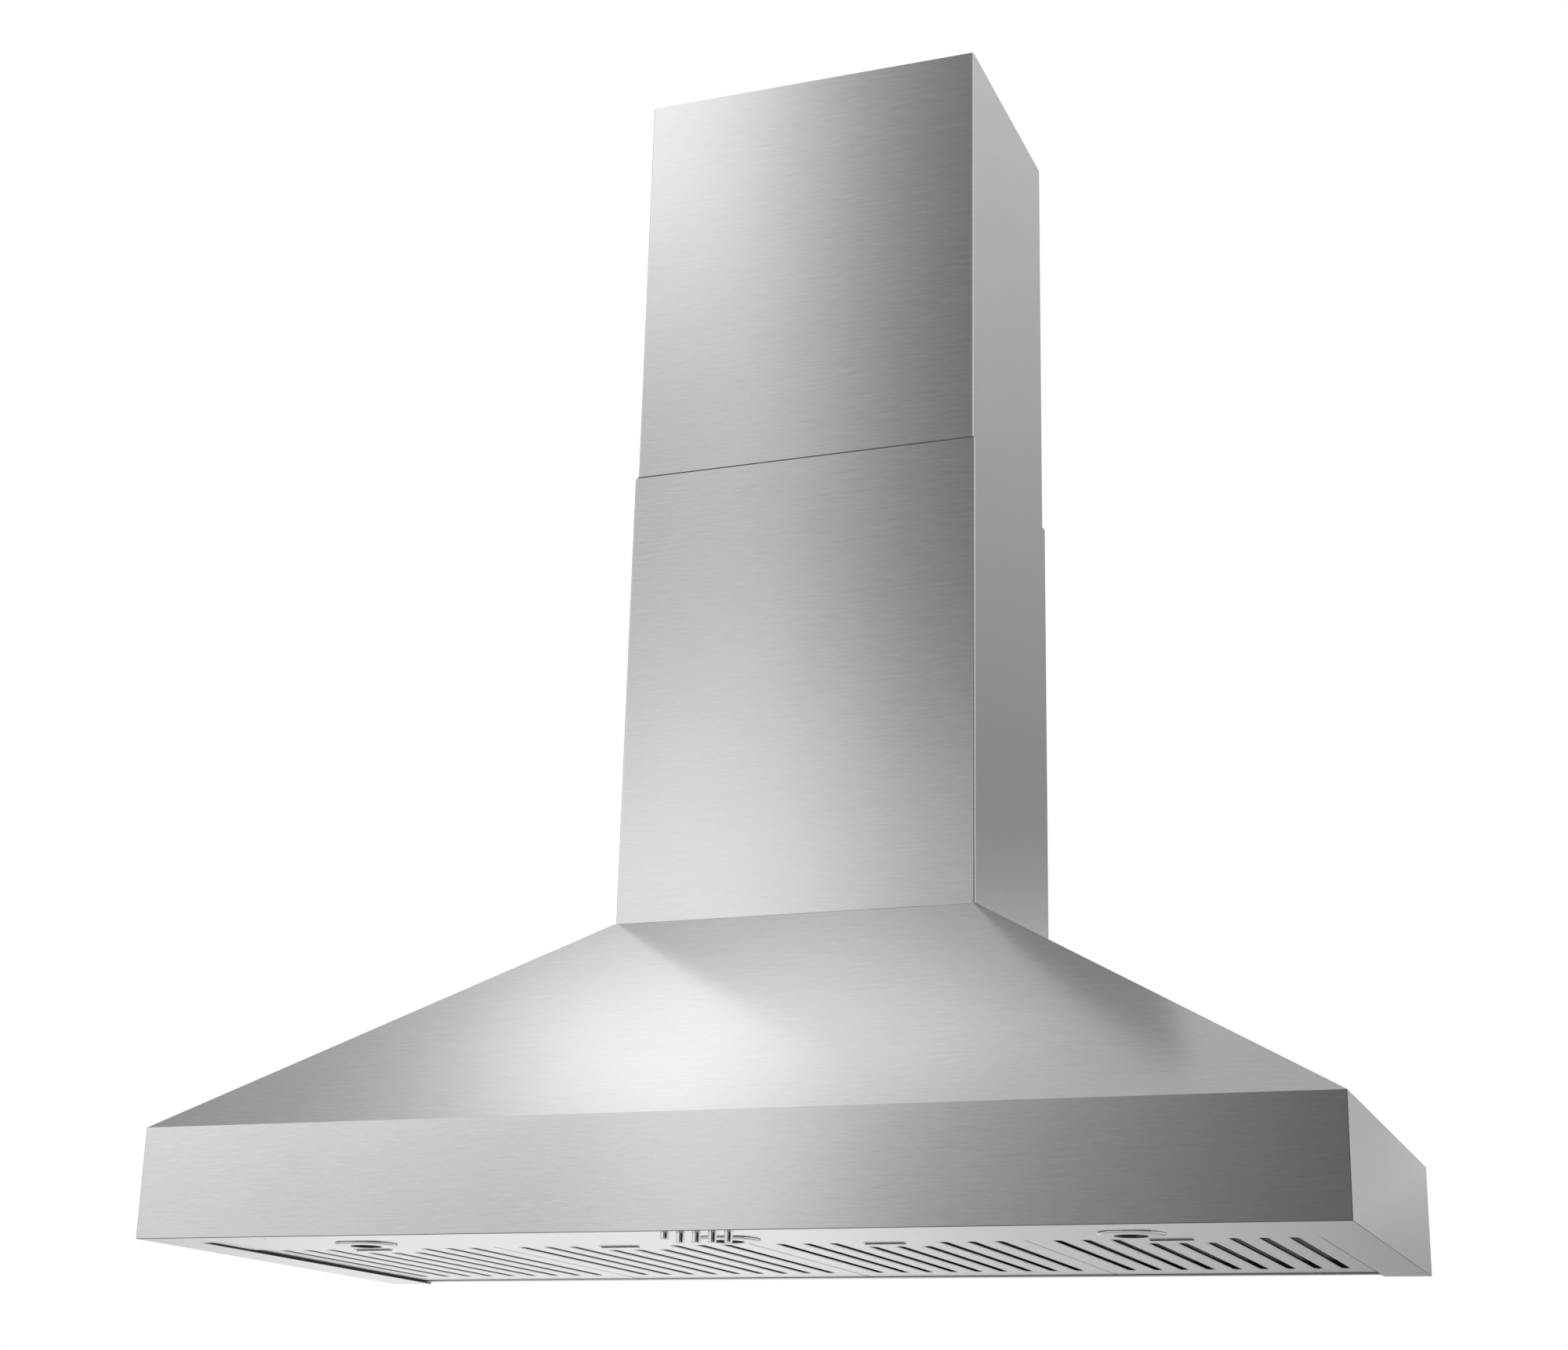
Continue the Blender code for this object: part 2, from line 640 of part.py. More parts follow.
def switches():
    """Five push buttons in a row; the first rests pressed in."""
    y = FRONT + BUTTON_Y
    for i in range(BUTTONS):
        tip = -BUTTON_OUT + (BUTTON_TRAVEL if i == 0 else 0)
        turned(f"button_{i + 1}", [(0, BUTTON_LEN), (BUTTON_R, BUTTON_LEN), (BUTTON_R, BUTTON_EDGE),
                                   (BUTTON_R - BUTTON_EDGE, 0), (0, 0)],
               (button_x(i), y, tip), CHROME, closed=False)
    half = button_x(BUTTONS - 1) + BLOCK_END
    low = SHEET + GAP
    block = box("switch_block", (-half, FRONT + BLOCK_FRONT, low),
                (half, FRONT + BLOCK_REAR, BLOCK_TOP), PLASTIC)
    bm = bmesh.new()
    depth = BUTTON_LEN - BUTTON_OUT + 2 * BUTTON_TRAVEL
    for i in range(BUTTONS):
        rod(bm, BUTTON_R + BUTTON_CLEAR, -PAST, depth, "Z", (button_x(i), y, 0), ROUND_STEPS)
    cut(block, place("button_bores", bm))


def cover_path(half, front, rear):
    """Front, sides and turned-in rear edges of a chimney cover, seen from above."""
    corners = [(-half + COVER_FLANGE, rear), (-half, rear), (-half, front), (half, front),
               (half, rear), (half - COVER_FLANGE, rear)]
    return rounded_path(corners, BEND_R)


def chimney():
    path = cover_path(CHIMNEY_W / 2, -CHIMNEY_D, 0)
    bent_sheet("lower_chimney_cover", path, "Z", CANOPY_H + GAP, LOWER_TOP, COVER_SHEET, -1,
               STAINLESS)
    inset = COVER_SHEET + COVER_CLEAR
    rear = -COVER_SHEET - 2 * GAP
    path = cover_path(CHIMNEY_W / 2 - inset, -CHIMNEY_D + inset, rear)
    bent_sheet("upper_chimney_cover", path, "Z", LOWER_TOP - COVER_OVERLAP, OVERALL_H,
               COVER_SHEET, -1, STAINLESS)
    top = OVERALL_H - BRACKET_DROP
    arm = CHIMNEY_W / 2 - inset - COVER_SHEET - BRACKET_SHEET / 2 - BRACKET_SIDE_CLEAR
    plate = -BRACKET_SHEET / 2
    jog = rear - COVER_SHEET - BRACKET_SHEET / 2 - BRACKET_REAR_CLEAR
    half = CHIMNEY_W / 2 - BRACKET_INSET
    path = [(-arm, jog - BRACKET_ARM), (-arm, jog), (-half, jog), (-half, plate), (half, plate),
            (half, jog), (arm, jog), (arm, jog - BRACKET_ARM)]
    bent_sheet("chimney_bracket", path, "Z", top - BRACKET_H, top, BRACKET_SHEET, 0, GALVANISED)


def wall_fixings():
    """Rail screwed to the wall, and the two hooks that hang the canopy on it."""
    plate = -WALL_SHEET / 2
    path = [(plate, WALL_RAIL_LOW), (plate, WALL_RAIL_STEP), (-WALL_RAIL_OUT, WALL_RAIL_STEP),
            (-WALL_RAIL_OUT, WALL_RAIL_TOP)]
    rail = bent_sheet("wall_rail", path, "X", -RAIL_W / 2, RAIL_W / 2, WALL_SHEET, 0, GALVANISED)
    bm = bmesh.new()
    for x in WALL_SCREW_X:
        rod(bm, WALL_SCREW_R + GAP, -PAST, PAST, "Y", (x, 0, HANG_Z), ROUND_STEPS)
    cut(rail, place("rail_holes", bm))
    seat = WALL_SHEET + GAP
    dome = [(SCREW_HEAD_R * sin(pi * k / 8), seat + SCREW_DOME * cos(pi * k / 8)) for k in range(5)]
    for i, x in enumerate(WALL_SCREW_X):
        turned(f"wall_screw_{i + 1}", [*dome, (WALL_SCREW_R, seat), (WALL_SCREW_R, 0), (0, 0)],
               (x, 0, HANG_Z), GALVANISED, (pi / 2, 0, 0), False)
    flat = -BACK_RECESS + GAP + HOOK_SHEET / 2
    over = WALL_RAIL_TOP + GAP + HOOK_SHEET / 2
    behind = -(WALL_RAIL_OUT - WALL_SHEET / 2) + 2 * GAP + HOOK_SHEET / 2
    path = [(flat, HOOK_LOW), (flat, over), (behind, over), (behind, HOOK_TIP)]
    for side, x in (("left", -HOOK_X), ("right", HOOK_X)):
        bent_sheet(f"hook_{side}", path, "X", x - HOOK_W / 2, x + HOOK_W / 2, HOOK_SHEET, 0,
                   GALVANISED)


def scroll(inset, top):
    """Spiral outline in (y, z): widest at the rear, closing round to the tongue at the front."""
    out = []
    for i in range(SCROLL_STEPS + 1):
        share = i / SCROLL_STEPS
        angle = radians(-SCROLL_TURN * share)
        radius = SCROLL_R1 + (SCROLL_R0 - SCROLL_R1) * share - inset
        out.append((FAN_Y + radius * cos(angle), FAN_Z + radius * sin(angle)))
    tongue = FAN_Y + SCROLL_R0 * cos(radians(-SCROLL_TURN)) + inset
    out[-1] = (tongue, out[-1][1])
    out.append((tongue, top))
    out.append((FAN_Y + SCROLL_R1 - inset, top))
    return out


def blower_housing():
    top = CANOPY_H - TOP_PLATE_DROP - GAP
    housing = prism("blower_housing", scroll(0, top), "X", -FAN_HALF, FAN_HALF, GALVANISED)
    neck = scroll(0, top)
    neck_front, neck_rear = neck[-2][0], neck[-1][0]
    edge = NECK_FLANGE
    add(housing, box("neck_flange", (-FAN_HALF - edge, neck_front - edge, top - SHEET),
                     (FAN_HALF + edge, neck_rear + edge, top)))
    inner = FAN_HALF - SHEET
    cut(housing, prism("scroll_hollow", scroll(SHEET, top + PAST), "X", -inner, inner))
    past = FAN_HALF + PAST
    cut(housing, cylinder("inlets", INLET_R, -past, past, "X", (0, FAN_Y, FAN_Z), WHEEL_STEPS))
    throat, rim, lip = INLET_R + INLET_LIP, INLET_R + INLET_FLANGE, INLET_LIP
    turned("inlet_ring", [(throat, INLET_DEPTH), (throat, lip), (rim, lip), (rim, 0), (INLET_R, 0),
                          (INLET_R, INLET_DEPTH)],
           (FAN_HALF + GAP, FAN_Y, FAN_Z), GALVANISED, (0, pi / 2, 0), steps=WHEEL_STEPS)


def fan_wheel():
    """Double-width wheel: middle disc and hub, tilted blades and two rims, turning about X."""
    axis = {"location": (0, FAN_Y, FAN_Z), "rotation": (0, pi / 2, 0)}
    bore = SHAFT_R + GAP
    disc, edge = DISC_HALF, WHEEL_R - DISC_SHORT
    wheel = turned("impeller", [(HUB_R, HUB_HALF), (HUB_R, disc), (edge, disc), (edge, -disc),
                                (HUB_R, -disc), (HUB_R, -HUB_HALF), (bore, -HUB_HALF),
                                (bore, HUB_HALF)],
                   axis["location"], ALUMINIUM, axis["rotation"], steps=WHEEL_STEPS)
    bm = bmesh.new()
    middle = (WHEEL_R + WHEEL_BORE_R) / 2
    chord = (WHEEL_R - WHEEL_BORE_R) * BLADE_CHORD / 2
    for i in range(BLADES):
        turn = (Matrix.Rotation(2 * pi * i / BLADES, 4, "Z") @ Matrix.Translation((middle, 0, 0))
                @ Matrix.Rotation(radians(BLADE_TILT), 4, "Z"))
        reach = WHEEL_HALF - WHEEL_RIM / 2
        cube(bm, (-chord, -BLADE_T / 2, -reach), (chord, BLADE_T / 2, reach), turn)
    add(wheel, place("impeller_blades", bm, **axis))
    for side, sign in (("left", -1), ("right", 1)):
        low, high = sorted((sign * (WHEEL_HALF - WHEEL_RIM), sign * WHEEL_HALF))
        bm = bmesh.new()
        rod(bm, WHEEL_R, low, high, steps=WHEEL_STEPS)
        rim = place(f"impeller_rim_{side}", bm, **axis)
        cut(rim, rim_bore(f"rim_bore_{side}", axis))
        add(wheel, rim)


def rim_bore(name, axis):
    bm = bmesh.new()
    rod(bm, WHEEL_BORE_R, -WHEEL_HALF - PAST, WHEEL_HALF + PAST, steps=WHEEL_STEPS)
    return place(name, bm, **axis)


def motor():
    axis = {"location": (0, FAN_Y, FAN_Z), "rotation": (0, pi / 2, 0)}
    near, far, soft = -MOTOR_NOSE, -MOTOR_NOSE - MOTOR_LEN, MOTOR_SOFT
    turned("motor", [(0, near), (MOTOR_R - soft, near), (MOTOR_R, near - soft),
                     (MOTOR_R, far + soft), (MOTOR_R - soft, far), (0, far)],
           axis["location"], ENAMEL, axis["rotation"], False)
    tip, root = HUB_HALF + SHAFT_PAST_HUB, near + GAP
    turned("motor_shaft", [(0, tip), (SHAFT_R, tip), (SHAFT_R, root), (0, root)],
           axis["location"], CHROME, axis["rotation"], False)
    face = -FAN_HALF - GAP
    inner, outer = MOTOR_R + GAP, MOTOR_R + CLAMP_W
    ring = turned("motor_bracket", [(outer, 0), (outer, -CLAMP_T), (inner, -CLAMP_T), (inner, 0)],
                  (face, FAN_Y, FAN_Z), GALVANISED, axis["rotation"])
    bm = bmesh.new()
    for i in range(ARMS):
        turn = Matrix.Rotation(2 * pi * i / ARMS, 4, "Z")
        cube(bm, (MOTOR_R + ARM_ROOT, -ARM_W / 2, ARM_FACES[0]), (ARM_REACH, ARM_W / 2, ARM_FACES[1]),
             turn)
    add(ring, place("bracket_arms", bm, (face, FAN_Y, FAN_Z), axis["rotation"]))


def outlet():
    """Round duct collar on the top plate, with a pair of damper flaps on one pin."""
    base = CANOPY_H - TOP_PLATE_DROP + SHEET + GAP
    height = CANOPY_H + COLLAR_UP - base
    wall, flange = COVER_SHEET, COLLAR_R + COLLAR_FLANGE
    collar = turned("duct_collar", [(COLLAR_R, height), (COLLAR_R, wall), (flange, wall), (flange, 0),
                                    (COLLAR_R - wall, 0), (COLLAR_R - wall, height)],
                    (0, COLLAR_Y, base), GALVANISED, steps=WHEEL_STEPS)
    pin_z = CANOPY_H + DAMPER_UP
    spot = (0, COLLAR_Y, pin_z)
    reach = COLLAR_R + PIN_PAST
    cut(collar, cylinder("pin_holes", DAMPER_PIN_R + PIN_CLEAR, -reach - PAST, reach + PAST, "X",
                         spot, PIN_STEPS))
    cylinder("damper_pin", DAMPER_PIN_R, -reach, reach, "X", spot, PIN_STEPS, CHROME)
    damper_flap("damper_flap_front", -1, FRONT_KNUCKLES, spot)
    damper_flap("damper_flap_rear", 1, REAR_KNUCKLES, spot)


def damper_flap(name, side, knuckles, spot):
    bm = bmesh.new()
    rod(bm, FLAP_R, -FLAP_T / 2, FLAP_T / 2, steps=WHEEL_STEPS)
    flap = place(name, bm, spot, finish=ALUMINIUM)
    bm = bmesh.new()
    low, high = sorted((side * FLAP_EDGE, -side * (FLAP_R + PAST)))
    cube(bm, (-FLAP_R - PAST, low, -PAST), (FLAP_R + PAST, high, PAST))
    cut(flap, place(f"{name}_half", bm, spot))
    bm = bmesh.new()
    for x in knuckles:
        rod(bm, KNUCKLE_R, x - KNUCKLE_LEN / 2, x + KNUCKLE_LEN / 2, "X", steps=PIN_STEPS)
    barrels = place(f"{name}_knuckles", bm, spot)
    bm = bmesh.new()
    for x in knuckles:
        low, high = sorted((side * (FLAP_EDGE + TAB_INTO_FLAP), side * TAB_INTO_KNUCKLE))
        reach = KNUCKLE_LEN / 2 - TAB_SHORT
        cube(bm, (x - reach, low, -TAB_T / 2), (x + reach, high, TAB_T / 2))
    add(flap, place(f"{name}_tabs", bm, spot))
    add(flap, barrels)
    reach = FLAP_R + PAST
    cut(flap, cylinder(f"{name}_bore", DAMPER_PIN_R + PIN_CLEAR, -reach, reach, "X", spot,
                       PIN_STEPS))


def electrics():
    width, depth, height = BOX_SIZE
    rear = -BACK_RECESS - SHEET - GAP
    low = (BOX_X - width / 2, rear - depth, BOX_Z)
    high = (BOX_X + width / 2, rear, BOX_Z + height)
    case = box("junction_box", low, high, GALVANISED)
    wall = SHEET
    cut(case, box("junction_hollow", (low[0] + wall, low[1] - PAST, low[2] + wall),
                  (high[0] - wall, high[1] - wall, high[2] - wall)))
    box("junction_box_lid", (low[0], low[1] - GAP - wall, low[2]),
        (high[0], low[1] - GAP, high[2]), GALVANISED)
    under = CANOPY_H - TOP_PLATE_DROP - GAP
    low, soft = under - CAPACITOR_H, CAPACITOR_SOFT
    turned("capacitor", [(0, under), (CAPACITOR_R, under), (CAPACITOR_R, low + soft),
                         (CAPACITOR_R - soft, low), (0, low)],
           (CAPACITOR_X, SERVICE_Y, 0), ALUMINIUM, closed=False)
    neck, neck_r = SHEET / 2 + GAP, GROMMET_HOLE_R - GAP
    end = neck + GROMMET_FLANGE
    turned("cable_grommet", [(GROMMET_R, end), (GROMMET_R, neck), (neck_r, neck), (neck_r, -neck),
                             (GROMMET_R, -neck), (GROMMET_R, -end), (CABLE_R, -end), (CABLE_R, end)],
           (GROMMET_X, SERVICE_Y, CANOPY_H - TOP_PLATE_DROP + SHEET / 2), RUBBER)


canopy()
back_panel()
top_plate()
light_strip()
for lamp_number in range(1, LAMP_COUNT + 1):
    lamp(lamp_number, lamp_x(lamp_number - 1))
rear_rail()
for filter_number in range(1, FILTER_COUNT + 1):
    filter_unit(filter_number)
switches()
chimney()
wall_fixings()
blower_housing()
fan_wheel()
motor()
outlet()
electrics()
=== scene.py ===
"""Studio picture of a wall-hung canopy range hood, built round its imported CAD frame.

Metres in the row frame: +X is the viewer's right, the front faces -Y, the wall is Y = 0 and
Z = 0 is the middle of the wall rail, 262 mm above the canopy's underside.
"""

import json
from math import cos, pi, radians, sin

import bmesh
import bpy
from mathutils import Matrix, Vector


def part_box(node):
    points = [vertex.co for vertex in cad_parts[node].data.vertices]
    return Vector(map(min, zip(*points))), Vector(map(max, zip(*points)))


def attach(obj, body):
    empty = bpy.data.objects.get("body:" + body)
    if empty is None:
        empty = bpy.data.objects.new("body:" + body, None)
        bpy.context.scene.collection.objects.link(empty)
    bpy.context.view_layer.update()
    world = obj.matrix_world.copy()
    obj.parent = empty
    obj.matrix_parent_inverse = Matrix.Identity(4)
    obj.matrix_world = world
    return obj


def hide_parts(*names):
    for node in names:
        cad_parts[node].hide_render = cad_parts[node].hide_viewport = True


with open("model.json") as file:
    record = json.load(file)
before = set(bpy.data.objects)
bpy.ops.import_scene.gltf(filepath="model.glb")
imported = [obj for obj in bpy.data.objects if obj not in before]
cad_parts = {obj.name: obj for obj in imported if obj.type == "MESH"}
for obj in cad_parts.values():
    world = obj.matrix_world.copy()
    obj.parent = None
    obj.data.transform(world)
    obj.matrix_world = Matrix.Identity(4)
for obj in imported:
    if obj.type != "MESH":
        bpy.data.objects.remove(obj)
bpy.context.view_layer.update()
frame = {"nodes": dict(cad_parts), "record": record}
NODES = frame["nodes"]

# ---- sizes shared with the CAD source ----
PANELS_OF_CANOPY = ("canopy_front", "canopy_left", "canopy_right")
UNDER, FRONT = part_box("canopy_front")[0].z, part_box("canopy_front")[0].y
HALF_W, TOP_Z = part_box("canopy_right")[1].x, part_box("canopy_right")[1].z
SKIRT_H = 0.1122
TOP_HALF = 0.2042
TOP_FRONT = -0.2984
SHEET = 0.0012
SIDE_FLANGE = 0.0486
FRONT_FLANGE = 0.0460
COVER_SHEET = 0.0010
PANEL_Z = UNDER + 0.0015
SLOTS = 9
SLOT_PITCH = 0.0279
SLOT_W = 0.0106
SLOT_FRONT = FRONT + 0.1539
SLOT_FRONT_MIDDLE = FRONT + 0.1922
MIDDLE_SLOTS = (3, 4, 5)
SLOT_REAR = FRONT + 0.4774
FILTER_COUNT = 4
LAMP_COUNT = 3
LAMP_BORE_R = 0.0160
BUTTON_COUNT = 5
BUTTON_PITCH = 0.0162
BUTTON_BACK = 0.012           # buttons' centre line behind the skirt's front
BUTTON_HOLE_R = 0.0044
COVER_FLANGE = 0.0120
COVER_BEND_R = 0.0022
TRAY_CORNER_R = 0.0035
PLATE_SHEET = 0.0008          # filter plates and finger pulls
FLOOR_RADIUS, FLOOR_Z = 9.0, -3.4


# ---- materials ----
class Nodes:
    """Short calls for building a node tree."""

    def __init__(self, tree):
        self.tree = tree

    def add(self, kind, **settings):
        node = self.tree.nodes.new(kind)
        for key, value in settings.items():
            setattr(node, key, value)
        return node

    def put(self, socket, value):
        if isinstance(value, bpy.types.NodeSocket):
            self.tree.links.new(value, socket)
        else:
            socket.default_value = value

    def math(self, operation, a, b=0.0, c=0.0):
        node = self.add("ShaderNodeMath", operation=operation)
        for socket, value in zip(node.inputs, (a, b, c)):
            self.put(socket, value)
        return node.outputs[0]

    def noise(self, where, scale, detail=3.0, roughness=0.55, distortion=0.0):
        """Noise at a position that was first scaled along each axis."""
        mapping = self.add("ShaderNodeMapping")
        self.put(mapping.inputs["Vector"], where)
        mapping.inputs["Scale"].default_value = scale
        node = self.add("ShaderNodeTexNoise")
        self.put(node.inputs["Vector"], mapping.outputs[0])
        node.inputs["Scale"].default_value = 1.0
        node.inputs["Detail"].default_value = detail
        node.inputs["Roughness"].default_value = roughness
        node.inputs["Distortion"].default_value = distortion
        return node.outputs["Fac"]

    def remap(self, value, low, high, to_low, to_high):
        node = self.add("ShaderNodeMapRange", clamp=True)
        for socket, given in zip(node.inputs, (value, low, high, to_low, to_high)):
            self.put(socket, given)
        return node.outputs[0]

    def ramp(self, value, start, end):
        """0 at start, 1 at end, with a soft beginning and end."""
        node = self.add("ShaderNodeMapRange", interpolation_type="SMOOTHSTEP")
        for socket, given in zip(node.inputs, (value, start, end, 0.0, 1.0)):
            self.put(socket, given)
        return node.outputs[0]

    def mix(self, share, a, b):
        node = self.add("ShaderNodeMix", data_type="RGBA")
        self.put(node.inputs["Factor"], share)
        for socket, value in zip((node.inputs[6], node.inputs[7]), (a, b)):
            self.put(socket, value)
        return node.outputs[2]

    def bump(self, height, strength, distance):
        node = self.add("ShaderNodeBump")
        node.inputs["Strength"].default_value = strength
        node.inputs["Distance"].default_value = distance
        self.put(node.inputs["Height"], height)
        return node.outputs[0]


def new_material(name):
    material = bpy.data.materials.new(name)
    material.use_nodes = True
    nodes = Nodes(material.node_tree)
    shader = material.node_tree.nodes["Principled BSDF"]
    where = nodes.add("ShaderNodeTexCoord").outputs["Object"]
    return material, nodes, shader, where


def rgb(value, tint=(1, 1, 1)):
    return (value * tint[0], value * tint[1], value * tint[2], 1)


def brushed(name, value, roughness, grain, tangent, tint=(1, 1, 0.985), contrast=0.06,
            anisotropy=0.6, bump=0.05, uneven=0.05):
    """Brushed metal. grain holds the noise's cycles per metre along each axis."""
    material, n, shader, where = new_material(name)
    fine = n.noise(where, grain, 4.0, 0.7)
    coarse = n.noise(where, tuple(g * 0.27 for g in grain), 2.0, 0.5)
    cloud = n.noise(where, (5, 5, 5), 2.0, 0.5)
    streak = n.math("MULTIPLY_ADD", fine, 0.75, n.math("MULTIPLY", coarse, 0.25))
    tone = n.math("MULTIPLY_ADD", cloud, 0.25, n.math("MULTIPLY", streak, 0.75))
    share = n.remap(tone, 0.3, 0.7, 0.0, 1.0)
    n.put(shader.inputs["Base Color"], n.mix(share, rgb(value * (1 - contrast), tint),
                                             rgb(value * (1 + contrast), tint)))
    n.put(shader.inputs["Roughness"],
          n.remap(streak, 0.3, 0.7, roughness - uneven, roughness + uneven))
    n.put(shader.inputs["Normal"], n.bump(streak, bump, 0.0003))
    shader.inputs["Metallic"].default_value = 1.0
    shader.inputs["Anisotropic"].default_value = anisotropy
    along = n.add("ShaderNodeCombineXYZ")
    for socket, part in zip(along.inputs, tangent):
        socket.default_value = part
    n.put(shader.inputs["Tangent"], along.outputs[0])
    return material


def polished(name, value, roughness):
    """Bright plating with faint wiping marks."""
    material, n, shader, where = new_material(name)
    marks = n.noise(where, (90, 90, 90), 5.0, 0.6, 1.5)
    n.put(shader.inputs["Base Color"], n.mix(marks, rgb(value * 0.96), rgb(value, (1, 1, 1.01))))
    n.put(shader.inputs["Roughness"], n.remap(marks, 0.35, 0.7, roughness, roughness + 0.06))
    n.put(shader.inputs["Normal"], n.bump(marks, 0.02, 0.0002))
    shader.inputs["Metallic"].default_value = 1.0
    return material


def zinc(name, value=0.52):
    """Galvanised sheet: spangle cells with their own tone and gloss, and a cloudy bloom."""
    material, n, shader, where = new_material(name)
    cells = n.add("ShaderNodeTexVoronoi")
    n.put(cells.inputs["Vector"], where)
    cells.inputs["Scale"].default_value = 95.0
    cells.inputs["Randomness"].default_value = 1.0
    grey = n.add("ShaderNodeSeparateColor")
    n.put(grey.inputs[0], cells.outputs["Color"])
    bloom = n.noise(where, (14, 14, 14), 4.0)
    tone = n.math("MULTIPLY_ADD", bloom, 0.5, n.math("MULTIPLY", grey.outputs[0], 0.5))
    n.put(shader.inputs["Base Color"], n.mix(tone, rgb(value * 0.8, (0.97, 1, 1.02)),
                                             rgb(value * 1.2, (0.98, 1, 1.01))))
    n.put(shader.inputs["Roughness"], n.remap(grey.outputs[1], 0, 1, 0.34, 0.52))
    n.put(shader.inputs["Normal"], n.bump(tone, 0.06, 0.0003))
    shader.inputs["Metallic"].default_value = 1.0
    return material


def coated(name, colour, roughness, grain=700.0, bump=0.12, spread=0.22):
    """Moulded or painted surface with a fine texture."""
    material, n, shader, where = new_material(name)
    pimples = n.noise(where, (grain, grain, grain), 3.0)
    patches = n.noise(where, (18, 18, 18), 3.0)
    n.put(shader.inputs["Base Color"], n.mix(patches, (*[c * (1 - spread) for c in colour], 1),
                                             (*[min(1, c * (1 + spread)) for c in colour], 1)))
    n.put(shader.inputs["Roughness"],
          n.remap(patches, 0.3, 0.7, roughness - 0.06, roughness + 0.06))
    n.put(shader.inputs["Normal"], n.bump(pimples, bump, 0.0002))
    return material


def lamp_glass(name):
    material, n, shader, where = new_material(name)
    frost = n.noise(where, (900, 900, 900), 2.0)
    shader.inputs["Base Color"].default_value = (0.93, 0.95, 0.95, 1)
    n.put(shader.inputs["Roughness"], n.remap(frost, 0.3, 0.7, 0.04, 0.14))
    n.put(shader.inputs["Normal"], n.bump(frost, 0.04, 0.0001))
    shader.inputs["IOR"].default_value = 1.5
    shader.inputs["Transmission Weight"].default_value = 0.9
    return material


LEVEL_Y, UP = (0, 1, 0), (0, 0, 1)
FINISH = {
    "stainless": brushed("stainless", 0.66, 0.155, (90, 90, 1500), UP, contrast=0.10,
                         anisotropy=0.25, bump=0.015, uneven=0.012),
    "stainless_side": brushed("stainless_side", 0.66, 0.155, (90, 90, 1500), UP, (1, 1, 0.975),
                              contrast=0.08, anisotropy=0.25, bump=0.012, uneven=0.012),
    "flange": brushed("stainless_flange", 0.68, 0.19, (90, 1500, 90), LEVEL_Y, (1, 1, 1.01),
                      contrast=0.06, anisotropy=0.25, bump=0.012, uneven=0.012),
    # Near-black stainless for square folds and the finger pulls' lips: painted shade, a dark
    # line standing in for the dark reflection along those edges.
    "fold_painted_shade": brushed("stainless_painted_shade", 0.14, 0.20, (90, 90, 300), UP, contrast=0.1,
                    anisotropy=0.0, bump=0.012, uneven=0.02),
    "satin": brushed("satin_steel", 0.68, 0.19, (90, 1300, 90), LEVEL_Y, (1, 1, 1.01),
                     contrast=0.05, anisotropy=0.25, bump=0.012, uneven=0.012),
    "chrome": polished("chrome", 0.86, 0.03),
    "galvanised": zinc("galvanised"),
    "aluminium": brushed("aluminium", 0.70, 0.34, (60, 60, 60), UP, tint=(1, 1, 1.01),
                         anisotropy=0.2),
    # Darkened steel for the baffles: painted shade of the enclosed plenum seen through the
    # filter slots.
    "shaded": brushed("baffle_steel_painted_shade", 0.34, 0.34, (60, 9, 900), UP, tint=(1, 1, 1.01),
                      contrast=0.2),
    # Dark strip at the chimney seam: painted shade of the joint between the covers.
    "felt": coated("painted_seam_shade", (0.13, 0.13, 0.13), 0.9, 1500, 0.3),
    # Near-black metal for the lamp bores and reflectors: painted shade of the deep recess.
    "bore": brushed("lamp_bore_painted_shade", 0.10, 0.25, (300, 300, 40), UP, (1, 1, 1), contrast=0.2),
    "enamel": coated("black_enamel", (0.045, 0.045, 0.05), 0.38, 500, 0.10),
    "plastic": coated("black_plastic", (0.03, 0.03, 0.03), 0.48),
    "rubber": coated("black_rubber", (0.022, 0.022, 0.022), 0.75, 400, 0.2),
    "glass": lamp_glass("lamp_glass"),
}
SLOT_FINISH = {"stainless": "stainless", "satin_steel": "satin", "chrome": "chrome",
               "galvanised": "galvanised", "aluminium": "aluminium", "enamel": "enamel",
               "black_plastic": "plastic", "rubber": "rubber", "glass": "glass"}


# ---- pieces ----
def piece(name, bm, body, finish, replaced=(), smooth=30):
    """An object from a bmesh in the row frame, riding on a body."""
    mesh = bpy.data.meshes.new(name)
    bm.to_mesh(mesh)
    bm.free()
    obj = bpy.data.objects.new(name, mesh)
    bpy.context.scene.collection.objects.link(obj)
    names = finish if isinstance(finish, (list, tuple)) else [finish]
    for one in names:
        mesh.materials.append(FINISH[one])
    mesh.shade_smooth()
    mesh.set_sharp_from_angle(angle=radians(smooth))
    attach(obj, body)
    if replaced:
        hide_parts(*replaced)
    return obj


def settle(obj):
    """Flat faces keep flat normals beside rounded folds."""
    step = obj.modifiers.new("normals", "WEIGHTED_NORMAL")
    step.weight = 100
    step.keep_sharp = True


def thicken(obj, thickness, offset):
    step = obj.modifiers.new("sheet", "SOLIDIFY")
    step.thickness = thickness
    step.offset = offset
    step.use_even_offset = True


def soften(obj, width, segments=3, angle=25):
    step = obj.modifiers.new("folds", "BEVEL")
    step.width = width
    step.segments = segments
    step.limit_method = "ANGLE"
    step.angle_limit = radians(angle)
    step.harden_normals = False
    step.use_clamp_overlap = True
    return step


def quads(bm, rings):
    """Faces between neighbouring rows of vertices."""
    made = []
    for low, high in zip(rings, rings[1:]):
        for i in range(len(low) - 1):
            made.append(bm.faces.new((low[i], low[i + 1], high[i + 1], high[i])))
    return made


